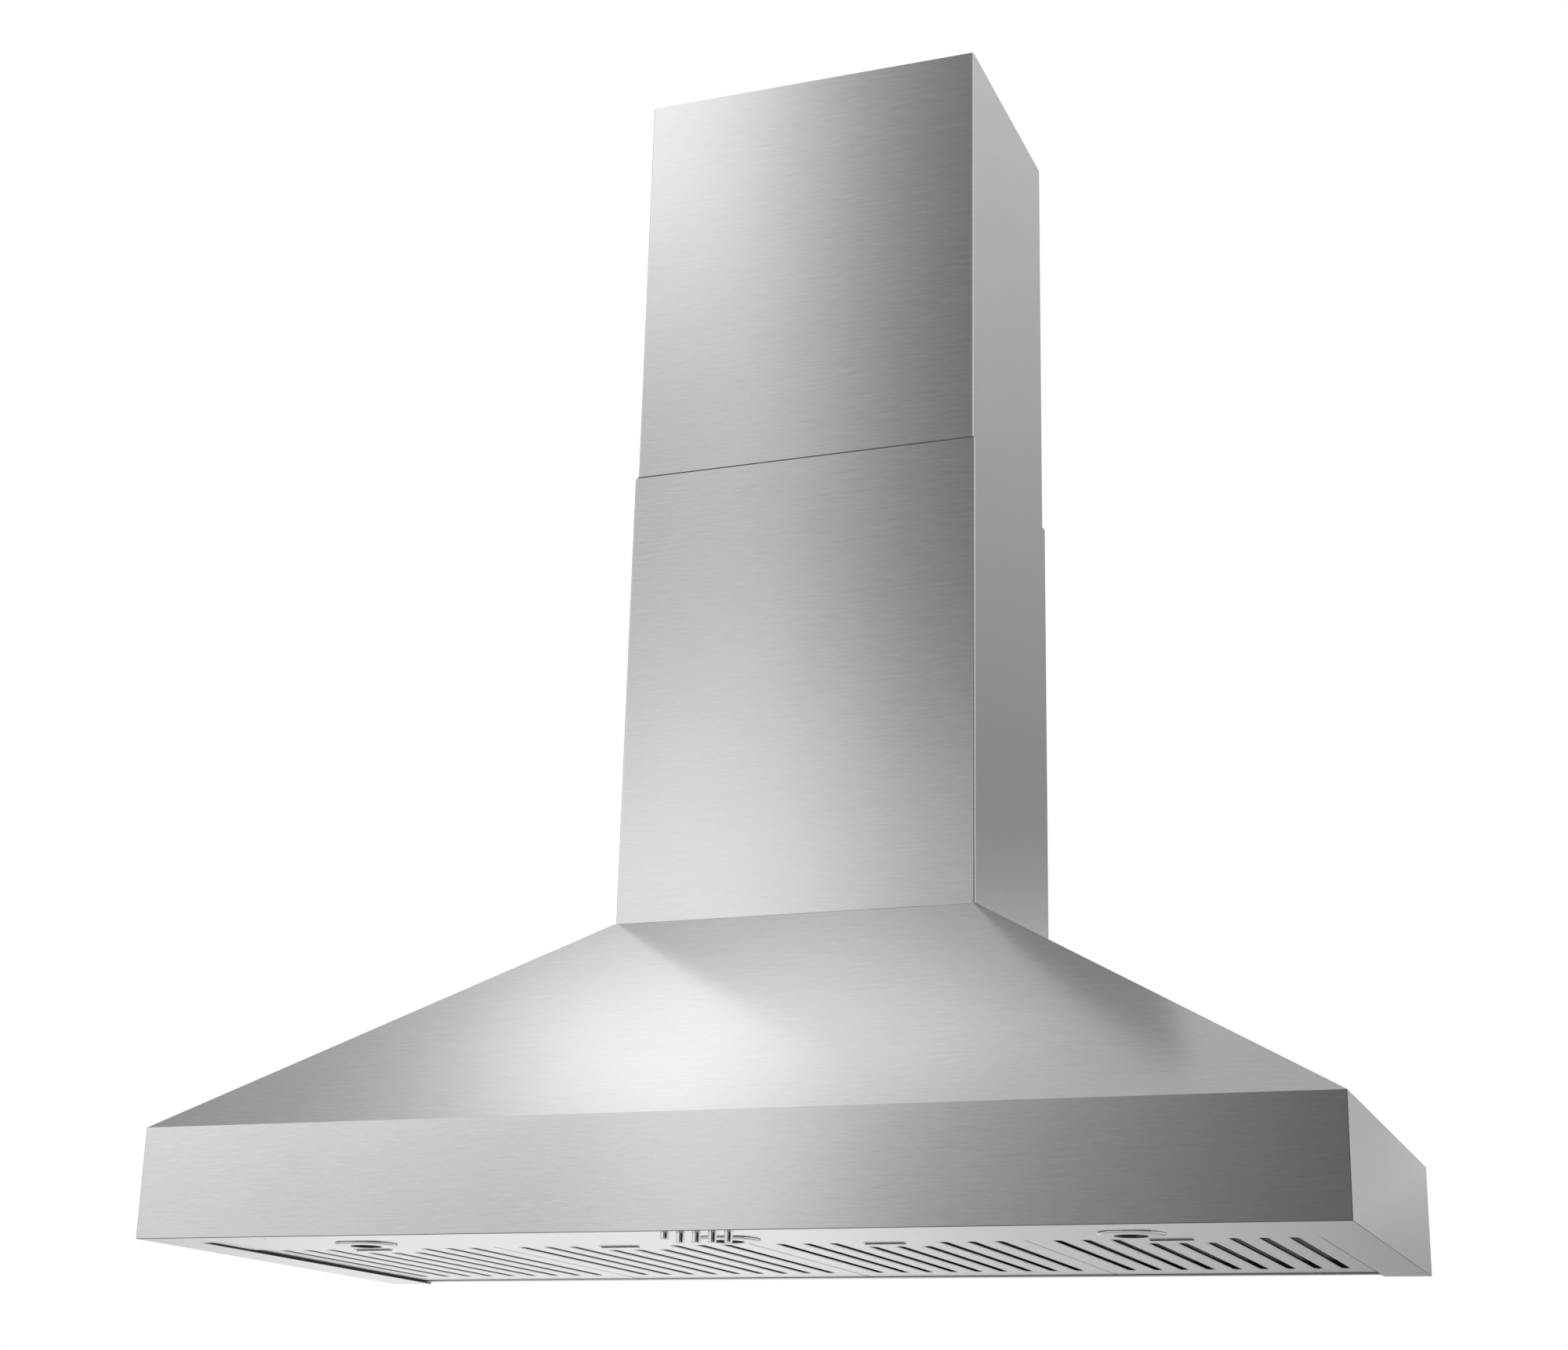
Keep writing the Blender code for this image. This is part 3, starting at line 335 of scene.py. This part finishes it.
def canopy():
    """Folded sheet: turned-in bottom edges, skirt and slopes."""
    inner = HALF_W - SIDE_FLANGE
    rings = []
    for half, front, z in ((inner, FRONT + FRONT_FLANGE, UNDER), (HALF_W, FRONT, UNDER),
                           (HALF_W, FRONT, UNDER + SKIRT_H), (TOP_HALF, TOP_FRONT, TOP_Z)):
        rings.append([(-half, 0, z), (-half, front, z), (half, front, z), (half, 0, z)])
    bm = bmesh.new()
    rows = [[bm.verts.new(p) for p in ring] for ring in rings]
    quads(bm, rows)
    bmesh.ops.recalc_face_normals(bm, faces=bm.faces)
    front_face = next(f for f in bm.faces if abs(f.calc_center_median().y - FRONT) < 1e-6)
    if front_face.normal.y > 0:
        bmesh.ops.reverse_faces(bm, faces=bm.faces)
    for face in bm.faces:
        normal = face.normal
        sideways = abs(normal.x) > max(abs(normal.y), 0.3)
        face.material_index = 2 if normal.z < -0.9 else int(sideways)
    obj = piece("canopy", bm, "hood", ["stainless", "stainless_side", "flange", "fold_painted_shade"],
                PANELS_OF_CANOPY)
    thicken(obj, SHEET, -1)
    cut_holes(obj, [(button_x(i), FRONT + BUTTON_BACK, UNDER) for i in range(BUTTON_COUNT)],
              BUTTON_HOLE_R)
    # The square folds' rounded edges take the dark finish: a painted shade line along the
    # skirt's bottom edge and corners.
    shaded_fold_bevel = soften(obj, 0.0014, 4, 60)
    shaded_fold_bevel.material = 3
    soften(obj, 0.0010, 4, 25)
    settle(obj)


def button_x(index):
    return (index - (BUTTON_COUNT - 1) / 2) * BUTTON_PITCH


def cut_holes(obj, spots, radius):
    bm = bmesh.new()
    for spot in spots:
        bmesh.ops.create_cone(bm, cap_ends=True, segments=40, radius1=radius, radius2=radius,
                              depth=0.02, matrix=Matrix.Translation(spot))
    mesh = bpy.data.meshes.new("holes")
    bm.to_mesh(mesh)
    bm.free()
    cutter = bpy.data.objects.new("holes_of_" + obj.name, mesh)
    bpy.context.scene.collection.objects.link(cutter)
    step = obj.modifiers.new("holes", "BOOLEAN")
    step.operation = "DIFFERENCE"
    step.solver = "EXACT"
    step.object = cutter
    bpy.context.view_layer.update()
    bake(obj)
    bpy.data.objects.remove(cutter)


def bake(obj):
    """Turns the modifiers so far into the object's own mesh."""
    graph = bpy.context.evaluated_depsgraph_get()
    made = bpy.data.meshes.new_from_object(obj.evaluated_get(graph))
    obj.modifiers.clear()
    obj.data = made


def rounded_path(points, radius, steps):
    """An open path with each inner corner replaced by an arc."""
    out = [Vector(points[0])]
    for before, corner, after in zip(points, points[1:], points[2:]):
        before, corner, after = Vector(before), Vector(corner), Vector(after)
        a, b = (before - corner).normalized(), (after - corner).normalized()
        half = a.angle(b) / 2
        centre = corner + (a + b).normalized() * radius / sin(half)
        reach = radius * cos(half) / sin(half)
        first, last = corner + a * reach, corner + b * reach
        for i in range(steps + 1):
            spoke = (first - centre).slerp(last - centre, i / steps).normalized()
            out.append(centre + spoke * radius)
    out.append(Vector(points[-1]))
    return out


def cover(name, node, body):
    """A folded duct cover, open at the back apart from its turned-in edges."""
    low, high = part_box(node)
    rear, front = high.y, low.y
    corners = [(-high.x + COVER_FLANGE, rear), (-high.x, rear), (-high.x, front),
               (high.x, front), (high.x, rear), (high.x - COVER_FLANGE, rear)]
    path = rounded_path(corners, COVER_BEND_R, 8)
    bm = bmesh.new()
    rows = [[bm.verts.new((p.x, p.y, z)) for p in path] for z in (low.z, high.z)]
    faces = quads(bm, rows)
    bmesh.ops.recalc_face_normals(bm, faces=bm.faces)
    front_face = min(faces, key=lambda f: f.calc_center_median().y)
    if front_face.normal.y > 0:
        bmesh.ops.reverse_faces(bm, faces=bm.faces)
    for face in bm.faces:
        face.material_index = 1 if abs(face.normal.x) > abs(face.normal.y) else 0
    obj = piece(name, bm, body, ["stainless", "stainless_side"], [node], 40)
    thicken(obj, COVER_SHEET, -1)
    settle(obj)


def cover_seam_shade_strip():
    """Dark strip between the two covers, just proud of the lower one's top edge: painted shade
    for the seam's shadow line.
    """
    low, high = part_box("upper_chimney_cover")
    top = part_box("lower_chimney_cover")[1].z
    out = 0.0002
    corners = [(low.x - out, high.y - 0.002), (low.x - out, low.y - out),
               (high.x + out, low.y - out), (high.x + out, high.y - 0.002)]
    bm = bmesh.new()
    quads(bm, [[bm.verts.new((p.x, p.y, z)) for p in rounded_path(corners, 0.0024, 6)]
               for z in (top - 0.012, top + 0.0020)])
    bmesh.ops.recalc_face_normals(bm, faces=bm.faces)
    if min(bm.faces, key=lambda f: f.calc_center_median().y).normal.y > 0:
        bmesh.ops.reverse_faces(bm, faces=bm.faces)
    obj = piece("cover_seam_shade_strip", bm, "hood", "felt", smooth=40)
    thicken(obj, 0.0011, 1)
    settle(obj)


def side_shade_strip(name, side):
    """Black rubber strip hanging in the joint between a side flange and the outer filter:
    painted shade for the shaded step there.
    """
    edge = side * (HALF_W - SIDE_FLANGE - 0.0001)
    inner = edge - side * 0.0006
    section = [(edge, UNDER + 0.0010), (edge, UNDER + 0.0075), (inner, UNDER + 0.0075),
               (inner, UNDER + 0.0003), (edge - side * 0.0002, UNDER + 0.0001)]
    front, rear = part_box("filter_1_tray")[0].y + 0.001, -0.0005
    bm = bmesh.new()
    rows = [[bm.verts.new((x, y, z)) for x, z in section] for y in (front, rear)]
    strip_between(bm, rows)
    for row in rows:
        bm.faces.new(row)
    bmesh.ops.recalc_face_normals(bm, faces=bm.faces)
    piece(name, bm, "hood", "rubber")


def stadium(centre_x, front, rear, half, steps=8):
    """Points round a slot with round ends, anticlockwise from above."""
    points = []
    for middle, start in ((rear - half, 0), (front + half, pi)):
        for k in range(steps + 1):
            angle = start + pi * k / steps
            points.append((centre_x + half * cos(angle), middle + half * sin(angle)))
    return points


def rectangle(low, high, radius, steps=4):
    """Points round a rectangle with rounded corners, anticlockwise from above."""
    points = []
    for corner, (cx, cy) in enumerate(((high.x - radius, high.y - radius),
                                       (low.x + radius, high.y - radius),
                                       (low.x + radius, low.y + radius),
                                       (high.x - radius, low.y + radius))):
        for k in range(steps + 1):
            angle = (corner + k / steps) * pi / 2
            points.append((cx + radius * cos(angle), cy + radius * sin(angle)))
    return points


def strip_between(bm, rows):
    """Closed rows of vertices joined into a band."""
    for low, high in zip(rows, rows[1:]):
        for i in range(len(low)):
            bm.faces.new((low[i - 1], low[i], high[i], high[i - 1]))


def level_ring(bm, points, z):
    return [bm.verts.new((x, y, z)) for x, y in points]


def filter_body(number):
    """Tray pressed from one sheet: rolled outer edges and nine slots with turned-in rims."""
    low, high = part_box(f"filter_{number}_tray")
    middle = (low.x + high.x) / 2
    roll, rim, rim_height = 0.0014, 0.0007, 0.0010
    turns = [pi / 2 * k / 4 for k in range(5)]
    bm = bmesh.new()
    rows = []
    for angle in turns:
        inset = roll * (1 - sin(angle))
        corner = Vector((inset, inset, 0))
        outline = rectangle(low + corner, high - corner, TRAY_CORNER_R - inset)
        rows.append(level_ring(bm, outline, low.z + roll * (1 - cos(angle))))
    rows.append(level_ring(bm, rectangle(low, high, TRAY_CORNER_R), high.z))
    strip_between(bm, rows)
    rings = [rows[0]]
    for i in range(SLOTS):
        centre = middle + (i - (SLOTS - 1) / 2) * SLOT_PITCH
        front = SLOT_FRONT_MIDDLE if i in MIDDLE_SLOTS else SLOT_FRONT
        bands = []
        for angle in turns:
            inset = rim * sin(angle)
            points = stadium(centre, front + inset, SLOT_REAR - inset, SLOT_W / 2 - inset)
            bands.append(level_ring(bm, points, low.z + rim * (1 - cos(angle))))
        points = stadium(centre, front + rim, SLOT_REAR - rim, SLOT_W / 2 - rim)
        bands.append(level_ring(bm, points, low.z + rim_height))
        strip_between(bm, bands)
        rings.append(bands[0])
    edges = []
    for ring in rings:
        for i in range(len(ring)):
            edges.append(bm.edges.get((ring[i - 1], ring[i])))
    bmesh.ops.triangle_fill(bm, use_beauty=True, edges=edges)
    bmesh.ops.recalc_face_normals(bm, faces=bm.faces)
    flat = max(bm.faces, key=lambda f: f.calc_area())
    if flat.normal.z > 0:
        bmesh.ops.reverse_faces(bm, faces=bm.faces)
    obj = piece(f"filter_{number}_plate", bm, f"filter_{number}", "satin",
                [f"filter_{number}_tray"], 40)
    thicken(obj, PLATE_SHEET, -1)
    settle(obj)


def filter_grip(number):
    """Finger pull: a folded tab with a rolled lip, spot-welded under the tray's margin."""
    low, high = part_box(f"filter_{number}_pull")
    path = rounded_path([(low.y, high.z), (high.y - 0.0003, high.z), (high.y, low.z + 0.0011)],
                        0.0006, 6)
    bm = bmesh.new()
    rows = [[bm.verts.new((x, p.x, p.y)) for p in path]
            for x in (low.x, low.x + 0.001, high.x - 0.001, high.x)]
    quads(bm, rows)
    bmesh.ops.recalc_face_normals(bm, faces=bm.faces)
    if max(bm.faces, key=lambda f: f.calc_area()).normal.z > 0:
        bmesh.ops.reverse_faces(bm, faces=bm.faces)
    # Upright faces of the lip take the dark finish: painted shade, a dark line along the lip.
    for face in bm.faces:
        face.material_index = 1 if abs(face.normal.y) > 0.5 else 0
    obj = piece(f"filter_{number}_grip", bm, f"filter_{number}", ["flange", "fold_painted_shade"],
                [f"filter_{number}_pull"], 60)
    thicken(obj, PLATE_SHEET, 1)
    step = soften(obj, 0.0002, 2, 50)
    step.offset_type = "OFFSET"
    settle(obj)


def turned_piece(name, profile, spot, body, finish, replaced=(), steps=72):
    """A closed profile of (radius, height) turned about an upright line through spot."""
    bm = bmesh.new()
    rows = []
    for radius, height in profile[:-1] if profile[0] == profile[-1] else profile:
        if radius == 0:
            rows.append([bm.verts.new((0, 0, height))])
        else:
            rows.append([bm.verts.new((radius * cos(2 * pi * k / steps),
                                       radius * sin(2 * pi * k / steps), height))
                         for k in range(steps)])
    if profile[0] == profile[-1]:
        rows.append(rows[0])
    for low, high in zip(rows, rows[1:]):
        for k in range(steps):
            if len(low) == 1:
                bm.faces.new((low[0], high[k], high[k - 1]))
            elif len(high) == 1:
                bm.faces.new((low[k - 1], low[k], high[0]))
            else:
                bm.faces.new((low[k - 1], low[k], high[k], high[k - 1]))
    bmesh.ops.recalc_face_normals(bm, faces=bm.faces)
    bm.transform(Matrix.Translation(spot))
    return piece(name, bm, body, finish, replaced, 50)


def smooth_profile(points, steps=5):
    """A profile with each inner corner rounded off: (radius, height, corner radius)."""
    out = [points[0][:2]]
    for before, corner, after in zip(points, points[1:], points[2:]):
        if not corner[2]:
            out.append(corner[:2])
            continue
        path = rounded_path([before[:2], corner[:2], after[:2]], corner[2], steps)
        out += [tuple(p) for p in path[1:-1]]
    out.append(points[-1][:2])
    return out


def switch(number):
    """Chrome push button with a soft edge and a shallow dish in its end."""
    low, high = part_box(f"button_{number}")
    spot = ((low.x + high.x) / 2, (low.y + high.y) / 2, 0)
    radius = (high.x - low.x) / 2
    profile = smooth_profile([(0, high.z, 0), (radius, high.z, 0.0003), (radius, low.z, 0.0007),
                              (radius * 0.5, low.z + 0.00005, 0), (0, low.z + 0.0003, 0)])
    turned_piece(f"switch_{number}", profile, spot, f"button_{number}", "chrome",
                 [f"button_{number}"], 48)


def lamp(number):
    """Dished chrome ring, frosted glass, and a capsule bulb in a reflector; bore wall and
    reflector are dark metal, painted shade of the recess.
    """
    low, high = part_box(f"lamp_bezel_{number}")
    spot = ((low.x + high.x) / 2, (low.y + high.y) / 2, 0)
    rim, bore = (high.x - low.x) / 2, LAMP_BORE_R
    top, bottom, tube = PANEL_Z - 0.0003, low.z + 0.0008, high.z
    ring = turned_piece(f"lamp_{number}_ring", smooth_profile([
        (rim - 0.004, top, 0), (rim, top, 0.0003), (rim, top - 0.0010, 0.0005),
        (rim - 0.003, top - 0.0018, 0.0008), (bore + 0.004, bottom, 0.0012),
        (bore, bottom, 0.0007), (bore, tube, 0), (bore + 0.0012, tube, 0),
        (bore + 0.0012, bottom + 0.0016, 0.0005), (rim - 0.004, top, 0)], 6),
        spot, "hood", ["satin", "bore", "chrome"], [f"lamp_bezel_{number}"])
    # Faces round the bore take the near-black finish: painted shade in the lamp recess.
    for face in ring.data.polygons:
        away = (face.center - Vector((spot[0], spot[1], face.center.z))).length
        if away < bore + 0.0003:
            face.material_index = 1
        elif away > rim - 0.0012:
            face.material_index = 2
    low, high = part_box(f"lamp_lens_{number}")
    radius = (high.x - low.x) / 2
    turned_piece(f"lamp_{number}_glass", smooth_profile([
        (0, high.z, 0), (radius, high.z, 0.0004), (radius, low.z, 0.0004), (0.012, low.z, 0),
        (0, low.z + 0.0006, 0)]), spot, "hood", "glass", [f"lamp_lens_{number}"])
    base = high.z + 0.0008
    # Reflector in the near-black bore finish: partly a dichroic reflector's own dark tone,
    # partly painted shade of the recess.
    turned_piece(f"lamp_{number}_reflector", [
        (0.0045, base + 0.020), (0.0100, base + 0.016), (0.0160, base + 0.009),
        (0.0195, base), (0.0203, base), (0.0167, base + 0.0096), (0.0106, base + 0.0168),
        (0.0045, base + 0.0210), (0.0045, base + 0.020)], spot, "hood", "bore")
    turned_piece(f"lamp_{number}_bulb", smooth_profile([
        (0, base + 0.0030, 0), (0.0036, base + 0.0036, 0.0020), (0.0040, base + 0.0150, 0.0010),
        (0.0028, base + 0.0240, 0.0005), (0, base + 0.0240, 0)]),
        spot, "hood", "glass", steps=32)


def rivets():
    """Small domed heads along the front flange."""
    for number, (x, back) in enumerate(((-0.561, 0.043), (-0.476, 0.027),
                                        (0.476, 0.027), (0.561, 0.043)), 1):
        radius, drop = 0.0011, 0.0005
        profile = [(radius * sin(pi / 2 * k / 4), -drop * cos(pi / 2 * k / 4)) for k in range(5)]
        profile += [(radius, 0.0003), (0, 0.0003)]
        turned_piece(f"rivet_{number}", profile, (x, FRONT + back, UNDER), "hood", "chrome",
                     steps=20)


canopy()
cover("cover_lower", "lower_chimney_cover", "hood")
cover("cover_upper", "upper_chimney_cover", "upper_cover")
for index in range(1, FILTER_COUNT + 1):
    filter_body(index)
    filter_grip(index)
for index in range(1, BUTTON_COUNT + 1):
    switch(index)
for index in range(1, LAMP_COUNT + 1):
    lamp(index)
rivets()
cover_seam_shade_strip()
# Black strips at the side flanges: painted shade of the step beside the filters.
side_shade_strip("shade_strip_left", -1)
side_shade_strip("shade_strip_right", 1)

SLOT_OF = {row["node"]: row["material_slot"] for row in frame["record"]["subparts"]}
for node_name, node in NODES.items():
    node.data.materials.clear()
    # Baffles take the darkened steel: painted shade inside the filters.
    finish = "shaded" if node_name.endswith("_baffles") else SLOT_FINISH[SLOT_OF[node_name]]
    node.data.materials.append(FINISH[finish])

# ---- floor ----
bm = bmesh.new()
bmesh.ops.create_circle(bm, cap_ends=True, segments=96, radius=FLOOR_RADIUS,
                        matrix=Matrix.Translation((0, 0, FLOOR_Z)))
floor_mesh = bpy.data.meshes.new("floor")
bm.to_mesh(floor_mesh)
bm.free()
floor = bpy.data.objects.new("floor", floor_mesh)
bpy.context.scene.collection.objects.link(floor)
floor_mesh.materials.append(coated("pale_floor", (0.80, 0.80, 0.79), 0.7, 300, 0.01, 0.02))


# ---- studio surround ----
BOXES = [
    # degrees left of the front (from, to, fade), degrees above level (from, to, fade), glow
    ((24, 82, 32), (-30, 46, 20), 0.76),        # pale wall on the left
    ((6, 82, 14), (-40, 18, 9), 0.18),          # its low haze
    ((15, 70, 16), (8.5, 16, 8), 0.42),         # brighter stripe along its foot
    ((22.5, 60, 3), (26.5, 50, 8), 0.95),       # high soft box
    ((19.8, 24, 4), (-30, 46, 12), 0.50),       # upright strip at its edge
    ((-130, -82, 10), (-30, 60, 20), 1.00),     # wall on the right
    ((-176, -140, 20), (26, 60, 34), 0.45),     # high wall at the right rear
    ((-170.5, -130, 4), (-20, 11, 8), 0.75),    # low box at the right rear
    ((130, 171, 14), (-30, -1, 6), 0.40),       # low box at the left rear
    ((147, 162, 8), (-30, -1, 6), 0.35),        # brighter middle of it
    ((120, 240, 20), (-60, 40, 20), 0.24),      # dim rear wall
    ((82, 126, 16), (-30, 36, 16), 0.50),       # dim wall on the far left
    ((-80, 2, 14), (24, 60, 10), 0.45),         # high haze at the right front
    ((-80, 0, 8), (13.5, 26, 5), 0.36),         # haze below it
    ((-80, 0, 8), (-40, -4, 5), 0.36),          # low haze at the right front
    ((-22, -3, 5), (-8, 14, 3), 0.34),          # patch near the front's middle
]
DOME = [
    # degrees left of the rear, degrees above level, radius, glow
    (67.5, 65, 4, 0.68),
    (60, 61.5, 4.5, 0.62),
    (60, 66, 10, 0.22),
    (50, 76, 40, 0.50),
    (113, 65, 8, 1.55),
]
FILL = 0.015
REAR_FROM = 130       # boxes past this angle are measured round the rear


def surround():
    """Grey studio with soft bright boxes; the camera itself sees plain white."""
    world = bpy.data.worlds.new("studio")
    bpy.context.scene.world = world
    world.use_nodes = True
    world.node_tree.nodes.clear()
    n = Nodes(world.node_tree)
    direction = n.add("ShaderNodeTexCoord").outputs["Generated"]
    split = n.add("ShaderNodeSeparateXYZ")
    n.put(split.inputs[0], direction)
    x, y, z = split.outputs
    rise = n.math("MULTIPLY", n.math("ARCSINE", z), 180 / pi)
    front = n.math("MULTIPLY", n.math("ARCTAN2", n.math("MULTIPLY", x, -1.0),
                                      n.math("MULTIPLY", y, -1.0)), 180 / pi)
    round_rear = n.math("ARCTAN2", n.math("MULTIPLY", x, -1.0), y)
    rear = n.math("SUBTRACT", 180.0, n.math("MULTIPLY", round_rear, 180 / pi))

    def band(value, start, end, fade):
        up = n.ramp(value, start - fade / 2, start + fade / 2)
        return n.math("MULTIPLY", up, n.ramp(value, end + fade / 2, end - fade / 2))

    total = FILL
    for (first, last, side_fade), (low, high, level_fade), glow in BOXES:
        turned = rear if last > REAR_FROM else front
        if first < -REAR_FROM:
            turned, first, last = rear, first + 360, last + 360
        box = n.math("MULTIPLY", band(turned, first, last, side_fade),
                     band(rise, low, high, level_fade))
        total = n.math("MULTIPLY_ADD", box, glow, total)
    for turn, height, radius, glow in DOME:
        aim = n.add("ShaderNodeVectorMath", operation="DOT_PRODUCT")
        n.put(aim.inputs[0], direction)
        aim.inputs[1].default_value = toward(turn, height)
        angle = n.math("MULTIPLY", n.math("ARCCOSINE", aim.outputs["Value"]), 180 / pi / radius)
        fall = n.math("EXPONENT", n.math("MULTIPLY", n.math("MULTIPLY", angle, angle), -1.0))
        total = n.math("MULTIPLY_ADD", fall, glow, total)
    tone = n.add("ShaderNodeCombineColor")
    for socket in tone.inputs:
        n.put(socket, total)
    seen = n.add("ShaderNodeLightPath").outputs["Is Camera Ray"]
    background = n.add("ShaderNodeBackground")
    n.put(background.inputs["Color"], n.mix(seen, tone.outputs[0], (1.0, 1.0, 1.0, 1.0)))
    out = n.add("ShaderNodeOutputWorld")
    n.put(out.inputs["Surface"], background.outputs[0])


def toward(turn, rise):
    """Unit vector at degrees to the left of the rear (+Y) and degrees above level."""
    a, e = radians(turn), radians(rise)
    return (-sin(a) * cos(e), cos(a) * cos(e), sin(e))


surround()

# ---- camera ----
PITCH, ROLL, YAW = radians(17.96992), radians(-1.37237), radians(20.89162)
CAMERA_AT = Vector((0.9339, -2.7814, -0.5019))
SENSOR_MM, FOCAL_MM, CLIP_END = 36.0, 58.620, 100.0
turn = (Matrix.Rotation(YAW, 3, "Z") @ Matrix.Rotation(PITCH, 3, "X")
        @ Matrix.Rotation(ROLL, 3, "Y"))
right, ahead, up = turn.col[0], turn.col[1], turn.col[2]
camera = bpy.data.objects.new("camera", bpy.data.cameras.new("camera"))
bpy.context.scene.collection.objects.link(camera)
camera.matrix_world = Matrix.LocRotScale(CAMERA_AT,
                                         Matrix((right, up, -ahead)).transposed(), None)
camera.data.sensor_width, camera.data.lens = SENSOR_MM, FOCAL_MM
camera.data.clip_end = CLIP_END
bpy.context.scene.camera = camera
bpy.context.scene.view_settings.view_transform = "Standard"
bpy.context.scene.view_settings.look = "None"
